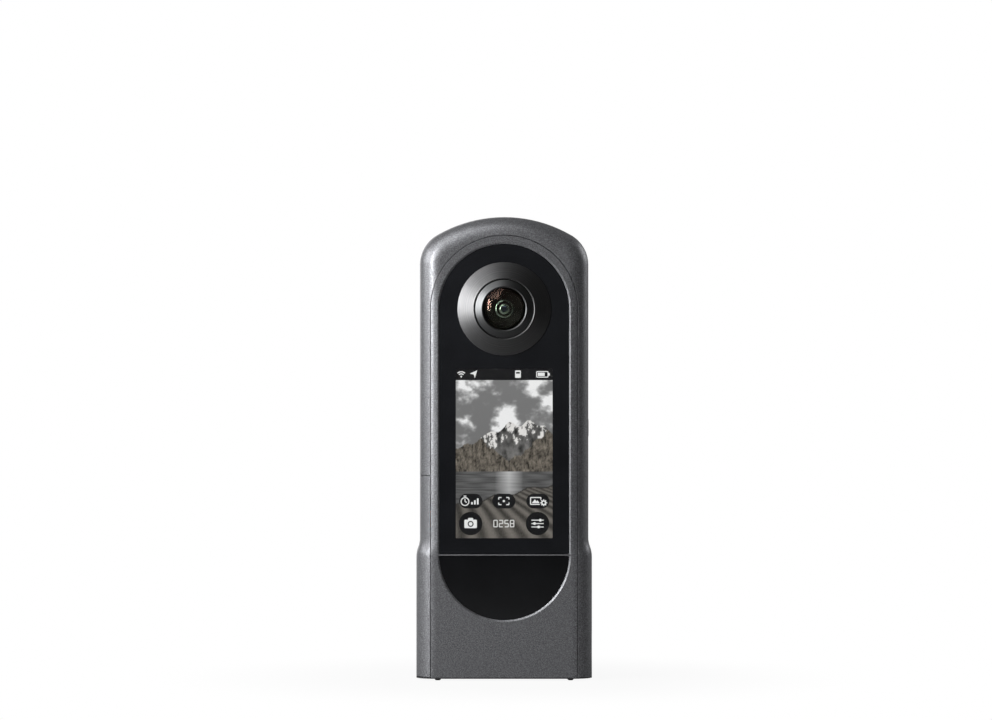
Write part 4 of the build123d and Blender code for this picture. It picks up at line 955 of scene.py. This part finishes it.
# Port: a drawn steel sleeve, soldered to its board. A black moulded tongue stands in the
# middle of it, with a row of twelve gold-plated contacts on each side.
port_steel = bare_metal("port_steel", (0.50, 0.50, 0.50), 0.25, (0.6, 0.05, 0.05))
coat(port_steel, "usb_socket")
gold = bare_metal("gold", (0.90, 0.62, 0.25), 0.22, (0.05, 0.4, 0.4))
port_low, port_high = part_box("usb_socket")
port_middle = (port_low + port_high) / 2
TONGUE_TIP = port_high.x - 0.59 * MM
TONGUE_REACH, TONGUE_HALF, TONGUE_THICK = 5.2 * MM, 3.32 * MM, 0.36 * MM
NOSE_LENGTH, NOSE_THINNER = 0.2 * MM, 0.12 * MM
CONTACTS, CONTACT_PITCH, CONTACT_LIFT = 12, 0.5 * MM, 0.015 * MM
CONTACT_HALF, CONTACT_REACH = 0.13 * MM, 3.6 * MM
tongue_points, tongue_faces = [], []
for x, half, thick in (
    (TONGUE_TIP - TONGUE_REACH, TONGUE_HALF, TONGUE_THICK),
    (TONGUE_TIP - NOSE_LENGTH, TONGUE_HALF, TONGUE_THICK),
    (TONGUE_TIP, TONGUE_HALF - NOSE_LENGTH / 2, TONGUE_THICK - NOSE_THINNER),
):
    for y, z in bar_corners(thick, -half, half):
        tongue_points.append((x, port_middle.y + y, port_middle.z + z))
for loop_start in (0, 4):
    for corner in range(4):
        here, after = loop_start + corner, loop_start + (corner + 1) % 4
        tongue_faces.append((here, after, after + 4, here + 4))
tongue_faces.append((8, 9, 10, 11))
plastic_faces = len(tongue_faces)
contact = bar_corners(CONTACT_HALF, TONGUE_TIP - NOSE_LENGTH, TONGUE_TIP - CONTACT_REACH)
for face_side in (-1, 1):
    y = port_middle.y + face_side * (TONGUE_THICK + CONTACT_LIFT)
    for number in range(CONTACTS):
        z = port_middle.z + (number - (CONTACTS - 1) / 2) * CONTACT_PITCH
        add_face(tongue_points, tongue_faces, [(x, y, z + aside) for aside, x in contact])
tongue_mesh = sheet_mesh("port_tongue", tongue_points, tongue_faces)
put("port_tongue", tongue_mesh, "housing", dark_plastic)
tongue_mesh.materials.append(gold)
for face in tongue_mesh.polygons[plastic_faces:]:
    face.material_index = 1

# Speaker: a sealed black box behind the slots in the back, with a woven metal mesh over
# its mouth. The same mesh covers the two microphones under the crown.
WEAVE_PER_METRE = 3200.0
speaker_mesh, mesh_parts, mesh_links = new_material("speaker_mesh")
mesh_shader = set_shader(mesh_parts, Roughness=0.5, Metallic=0.6)
weave = mesh_parts.new("ShaderNodeTexVoronoi")
weave.inputs["Scale"].default_value = WEAVE_PER_METRE
weave.inputs["Randomness"].default_value = 0.0
mesh_links.new(surface_place(mesh_parts), weave.inputs["Vector"])
wires = weave.outputs["Distance"]
wire_stops = [(0.25, (0.004, 0.004, 0.004)), (0.42, (0.06, 0.06, 0.062))]
wire_tones = tones(mesh_parts, mesh_links, wires, wire_stops)
mesh_links.new(wire_tones, mesh_shader.inputs["Base Color"])
wire_relief = relief(mesh_parts, mesh_links, wires, 0.06, 0.8)
mesh_links.new(wire_relief, mesh_shader.inputs["Normal"])
coat(speaker_mesh, "speaker", "microphones")

# Status lamp: a rod moulded in clear plastic, pressed into the rear shell, that carries
# the light of a small lamp on the board to the back.
lamp_clear = moulded("lamp_clear", (0.55, 0.60, 0.62), 0.25, 0.6, 0.002)
set_shader(lamp_clear.node_tree.nodes, Transmission_Weight=0.5)
coat(lamp_clear, "status_lamp")

# Battery: a flat pack in a dark wrap, with an arrow and two signs on its end that show
# which way it goes in. Its tray is black and the contacts are gold plated.
battery_wrap = moulded("battery_wrap", (0.035, 0.036, 0.040), 0.42, 0.3, 0.006)
coat(battery_wrap, "battery")
coat(dark_plastic, "battery_tray")
coat(gold, "battery_contacts")
battery_low, battery_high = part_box("battery")
mark_y = (battery_low.y + battery_high.y) / 2
mark_x = battery_low.x - 0.02 * MM
ARROW_Z = battery_high.z - 12 * MM
PLUS_Z, MINUS_Z = battery_high.z - 18.5 * MM, battery_low.z + 8 * MM
SHAFT_HALF, SHAFT_LOW, HEAD_HALF, HEAD_LOW, HEAD_TIP = 0.35, -2.4, 1.2, 0.2, 1.9
POLE_REACH, POLE_HALF = 1.1, 0.2
mark_points, mark_faces = [], []


def end_mark(z_middle, outline):
    """A flat mark on the end of the battery, given in millimetres from its middle."""
    corners = [(mark_x, mark_y + y * MM, z_middle + z * MM) for y, z in outline]
    add_face(mark_points, mark_faces, corners)


end_mark(ARROW_Z, bar_corners(SHAFT_HALF, SHAFT_LOW, HEAD_LOW))
end_mark(ARROW_Z, ((-HEAD_HALF, HEAD_LOW), (HEAD_HALF, HEAD_LOW), (0.0, HEAD_TIP)))
end_mark(PLUS_Z, bar_corners(POLE_REACH, -POLE_HALF, POLE_HALF))
end_mark(PLUS_Z, bar_corners(POLE_HALF, POLE_HALF, POLE_REACH))
end_mark(PLUS_Z, bar_corners(POLE_HALF, -POLE_REACH, -POLE_HALF))
end_mark(MINUS_Z, bar_corners(POLE_REACH, -POLE_HALF, POLE_HALF))
mark_mesh = sheet_mesh("battery_marks", mark_points, mark_faces)
put("battery_marks", mark_mesh, "housing", pale_ink)

# Battery catch: a small slide moulded in orange so that the hand finds it, with softened
# edges and three ribs across its nose for the fingernail.
catch_orange = moulded("catch_orange", (0.62, 0.13, 0.018), 0.42, 0.2, 0.012)
catch_low, catch_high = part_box("battery_catch")
CATCH_ROUND, RIB_MARGIN, RIB_ROOT = 0.28 * MM, 0.55 * MM, 0.05 * MM
RIB_RISE, RIB_HALF, RIB_STEP, RIB_UP = 0.12 * MM, 0.22 * MM, 0.85 * MM, 1.7 * MM
catch_build = bmesh.new()
catch_build.from_mesh(nodes["battery_catch"].data)
bmesh.ops.remove_doubles(catch_build, verts=catch_build.verts[:], dist=SAME_SPOT)
bmesh.ops.dissolve_limit(
    catch_build, angle_limit=0.02, verts=catch_build.verts[:], edges=catch_build.edges[:]
)
bmesh.ops.bevel(
    catch_build,
    geom=catch_build.edges[:],
    offset=CATCH_ROUND,
    segments=3,
    affect="EDGES",
    profile=0.5,
    clamp_overlap=True,
)
nose_middle = (catch_low.y + catch_high.y) / 2
nose_half = (catch_high.y - catch_low.y) / 2 - RIB_MARGIN
rib_section = (
    (-RIB_HALF, -RIB_ROOT),
    (-RIB_HALF / 2, RIB_RISE),
    (RIB_HALF / 2, RIB_RISE),
    (RIB_HALF, -RIB_ROOT),
)
for number in (-1, 0, 1):
    rib_z = catch_low.z + RIB_UP + number * RIB_STEP
    outline = [(catch_low.x - rise, rib_z + up) for up, rise in rib_section]
    near, far = [
        upright_loop(catch_build, outline, y)
        for y in (nose_middle - nose_half, nose_middle + nose_half)
    ]
    wall(catch_build, near, far)
    catch_build.faces.new(near)
    catch_build.faces.new(far)
catch_mesh = closed_mesh("ribbed_catch", catch_build)
ribbed_catch = put("ribbed_catch", catch_mesh, "catch", catch_orange)
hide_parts("battery_catch")

# Memory card: a card of the small kind, moulded in black plastic with no label. It sits in
# its socket behind the battery door.
card_black = moulded("card_black", (0.012, 0.012, 0.013), 0.45, 0.1, 0.006)
coat(card_black, "memory_card")

# Studio floor: a plain pale table. The lens sees it white, with a painted shade round the
# camera's foot through which its real shadow also shows, and glass and metal show some of the
# part that lies behind the camera.
FLOOR_HALF, FLOOR_GREY = 4.0, 0.30
PAINTED_FOOT_SHADE, SHADE_START, SHADE_END = 0.93, 0.03, 0.11
FLOOR_BEHIND_START, FLOOR_BEHIND_END, FLOOR_MIRRORED = 0.03, 0.05, 0.35


def joined(parts, links, operation, first, second):
    """Two shares made into one, as their product or as the larger of them."""
    both = parts.new("ShaderNodeMath")
    both.operation = operation
    links.new(first, both.inputs[0])
    links.new(second, both.inputs[1])
    return both.outputs["Value"]


def behind_share(parts, links, place, high, start, end):
    """0 in front of the camera, rising to high from start to end behind it."""
    split = parts.new("ShaderNodeSeparateXYZ")
    links.new(place, split.inputs["Vector"])
    return spread(parts, links, split.outputs["Y"], 0.0, high, start, end)


def shown_share(parts, links, mirrored_share):
    """1 where the lens looks straight at it, and a set share where glass or metal does."""
    ray = parts.new("ShaderNodeLightPath").outputs
    mirrored = joined(parts, links, "MAXIMUM", ray["Is Glossy Ray"], ray["Is Transmission Ray"])
    mirrored = joined(parts, links, "MULTIPLY", mirrored, mirrored_share)
    return joined(parts, links, "MAXIMUM", ray["Is Camera Ray"], mirrored)


floor_corners = [(x, y, 0.0) for x, y in bar_corners(FLOOR_HALF, -FLOOR_HALF, FLOOR_HALF)]
floor_mesh = sheet_mesh("floor", floor_corners, [(0, 1, 2, 3)])
floor = bpy.data.objects.new("floor", floor_mesh)
bpy.context.scene.collection.objects.link(floor)
pale, pale_parts, pale_links = new_material("pale_floor")
pale_shader = set_shader(pale_parts, Roughness=0.9, Specular_IOR_Level=0.0)
set_shader(pale_parts, Base_Color=(FLOOR_GREY, FLOOR_GREY, FLOOR_GREY, 1.0))
floor_place = surface_place(pale_parts)
from_foot = pale_parts.new("ShaderNodeVectorMath")
from_foot.operation = "LENGTH"
pale_links.new(floor_place, from_foot.inputs[0])
# Painted shade: less white near the camera's foot, so the lit grey floor and its real shadow
# show there.
whiteness = spread(
    pale_parts, pale_links, from_foot.outputs["Value"], PAINTED_FOOT_SHADE, 1.0, SHADE_START, SHADE_END
)
whiteness.node.interpolation_type = "SMOOTHSTEP"
floor_mirrored = behind_share(
    pale_parts, pale_links, floor_place, FLOOR_MIRRORED, FLOOR_BEHIND_START, FLOOR_BEHIND_END
)
floor_shown = shown_share(pale_parts, pale_links, floor_mirrored)
white_share = joined(pale_parts, pale_links, "MULTIPLY", floor_shown, whiteness)
white_light = pale_parts.new("ShaderNodeEmission")
white_light.inputs["Strength"].default_value = 1.0
seen = pale_parts.new("ShaderNodeMixShader")
pale_links.new(white_share, seen.inputs["Fac"])
pale_links.new(pale_shader.outputs["BSDF"], seen.inputs[1])
pale_links.new(white_light.outputs["Emission"], seen.inputs[2])
pale_links.new(seen.outputs["Shader"], pale_parts["Material Output"].inputs["Surface"])
floor_mesh.materials.append(pale)

# Studio surround: a plain pale wall all round, white to the lens. It gives the camera only
# a low, even light, and glass and metal show some of the part behind the camera.
SURROUND_LIGHT, WALL_MIRRORED = 0.13, 0.25
WALL_BEHIND_START, WALL_BEHIND_END = -0.1, 0.5
world = bpy.data.worlds.new("studio")
bpy.context.scene.world = world
world.use_nodes = True
wall_parts, wall_links = world.node_tree.nodes, world.node_tree.links
wall_place = wall_parts.new("ShaderNodeTexCoord").outputs["Generated"]
wall_mirrored = behind_share(
    wall_parts, wall_links, wall_place, WALL_MIRRORED, WALL_BEHIND_START, WALL_BEHIND_END
)
wall_shown = shown_share(wall_parts, wall_links, wall_mirrored)
wall_light = wall_parts["Background"]
wall_light.inputs["Color"].default_value = (1.0, 1.0, 1.0, 1.0)
wall_strength = spread(wall_parts, wall_links, wall_shown, SURROUND_LIGHT, 1.0)
wall_links.new(wall_strength, wall_light.inputs["Strength"])

# Studio lamps: a soft box high in front, a narrow panel and a square one on the left, one
# on the right and a large box behind. They stand high, so the flat glass mirrors little
# of them.
LAMPS_LOOK_AT = Vector((0.0, 0.0, 0.08))


def soft_box(name, toward, distance, width, height, power):
    """A flat studio lamp in one direction from the camera's middle, and facing it."""
    light = bpy.data.lights.new(name, "AREA")
    light.shape = "RECTANGLE"
    light.size, light.size_y, light.energy = width, height, power
    lamp = bpy.data.objects.new(name, light)
    bpy.context.scene.collection.objects.link(lamp)
    lamp.location = LAMPS_LOOK_AT + Vector(toward).normalized() * distance
    lamp.rotation_euler = (LAMPS_LOOK_AT - lamp.location).to_track_quat("-Z", "Y").to_euler()


soft_box("key_box", (-0.42, -0.45, 0.76), 0.70, 0.50, 0.50, 2.7)
soft_box("side_panel", (-0.72, -0.66, 0.26), 0.36, 0.07, 0.21, 1.4)
soft_box("left_panel", (-1.0, -0.12, 0.38), 0.50, 0.26, 0.24, 1.5)
soft_box("right_panel", (1.0, 0.60, 0.45), 0.60, 0.30, 0.30, 1.0)
soft_box("back_box", (-0.35, 0.90, 0.22), 1.0, 0.7, 0.7, 3.4)

# Photographer's camera: level with the top of the screen, straight on, with a long lens.
# Its distance and lens give the photograph's scale at the front of the casing.
SENSOR_WIDTH, VIEW_DISTANCE = 36.0, 1.2
PICTURE_PIXELS, PIXEL_SIZE = 992, 0.29322
VIEW_X, VIEW_Z, CASING_FRONT = -2.4 * MM, 94.1 * MM, 10.75 * MM
frame_width = PICTURE_PIXELS * PIXEL_SIZE * MM
view_data = bpy.data.cameras.new("photo_view")
view_data.sensor_width = SENSOR_WIDTH
view_data.lens = SENSOR_WIDTH * VIEW_DISTANCE / frame_width
view_data.clip_start, view_data.clip_end = 0.05, 50.0
viewer = bpy.data.objects.new("photo_view", view_data)
bpy.context.scene.collection.objects.link(viewer)
viewer.location = (VIEW_X, -VIEW_DISTANCE - CASING_FRONT, VIEW_Z)
viewer.rotation_euler = (pi / 2, 0.0, 0.0)
bpy.context.scene.camera = viewer
bpy.context.scene.view_settings.view_transform = "Standard"
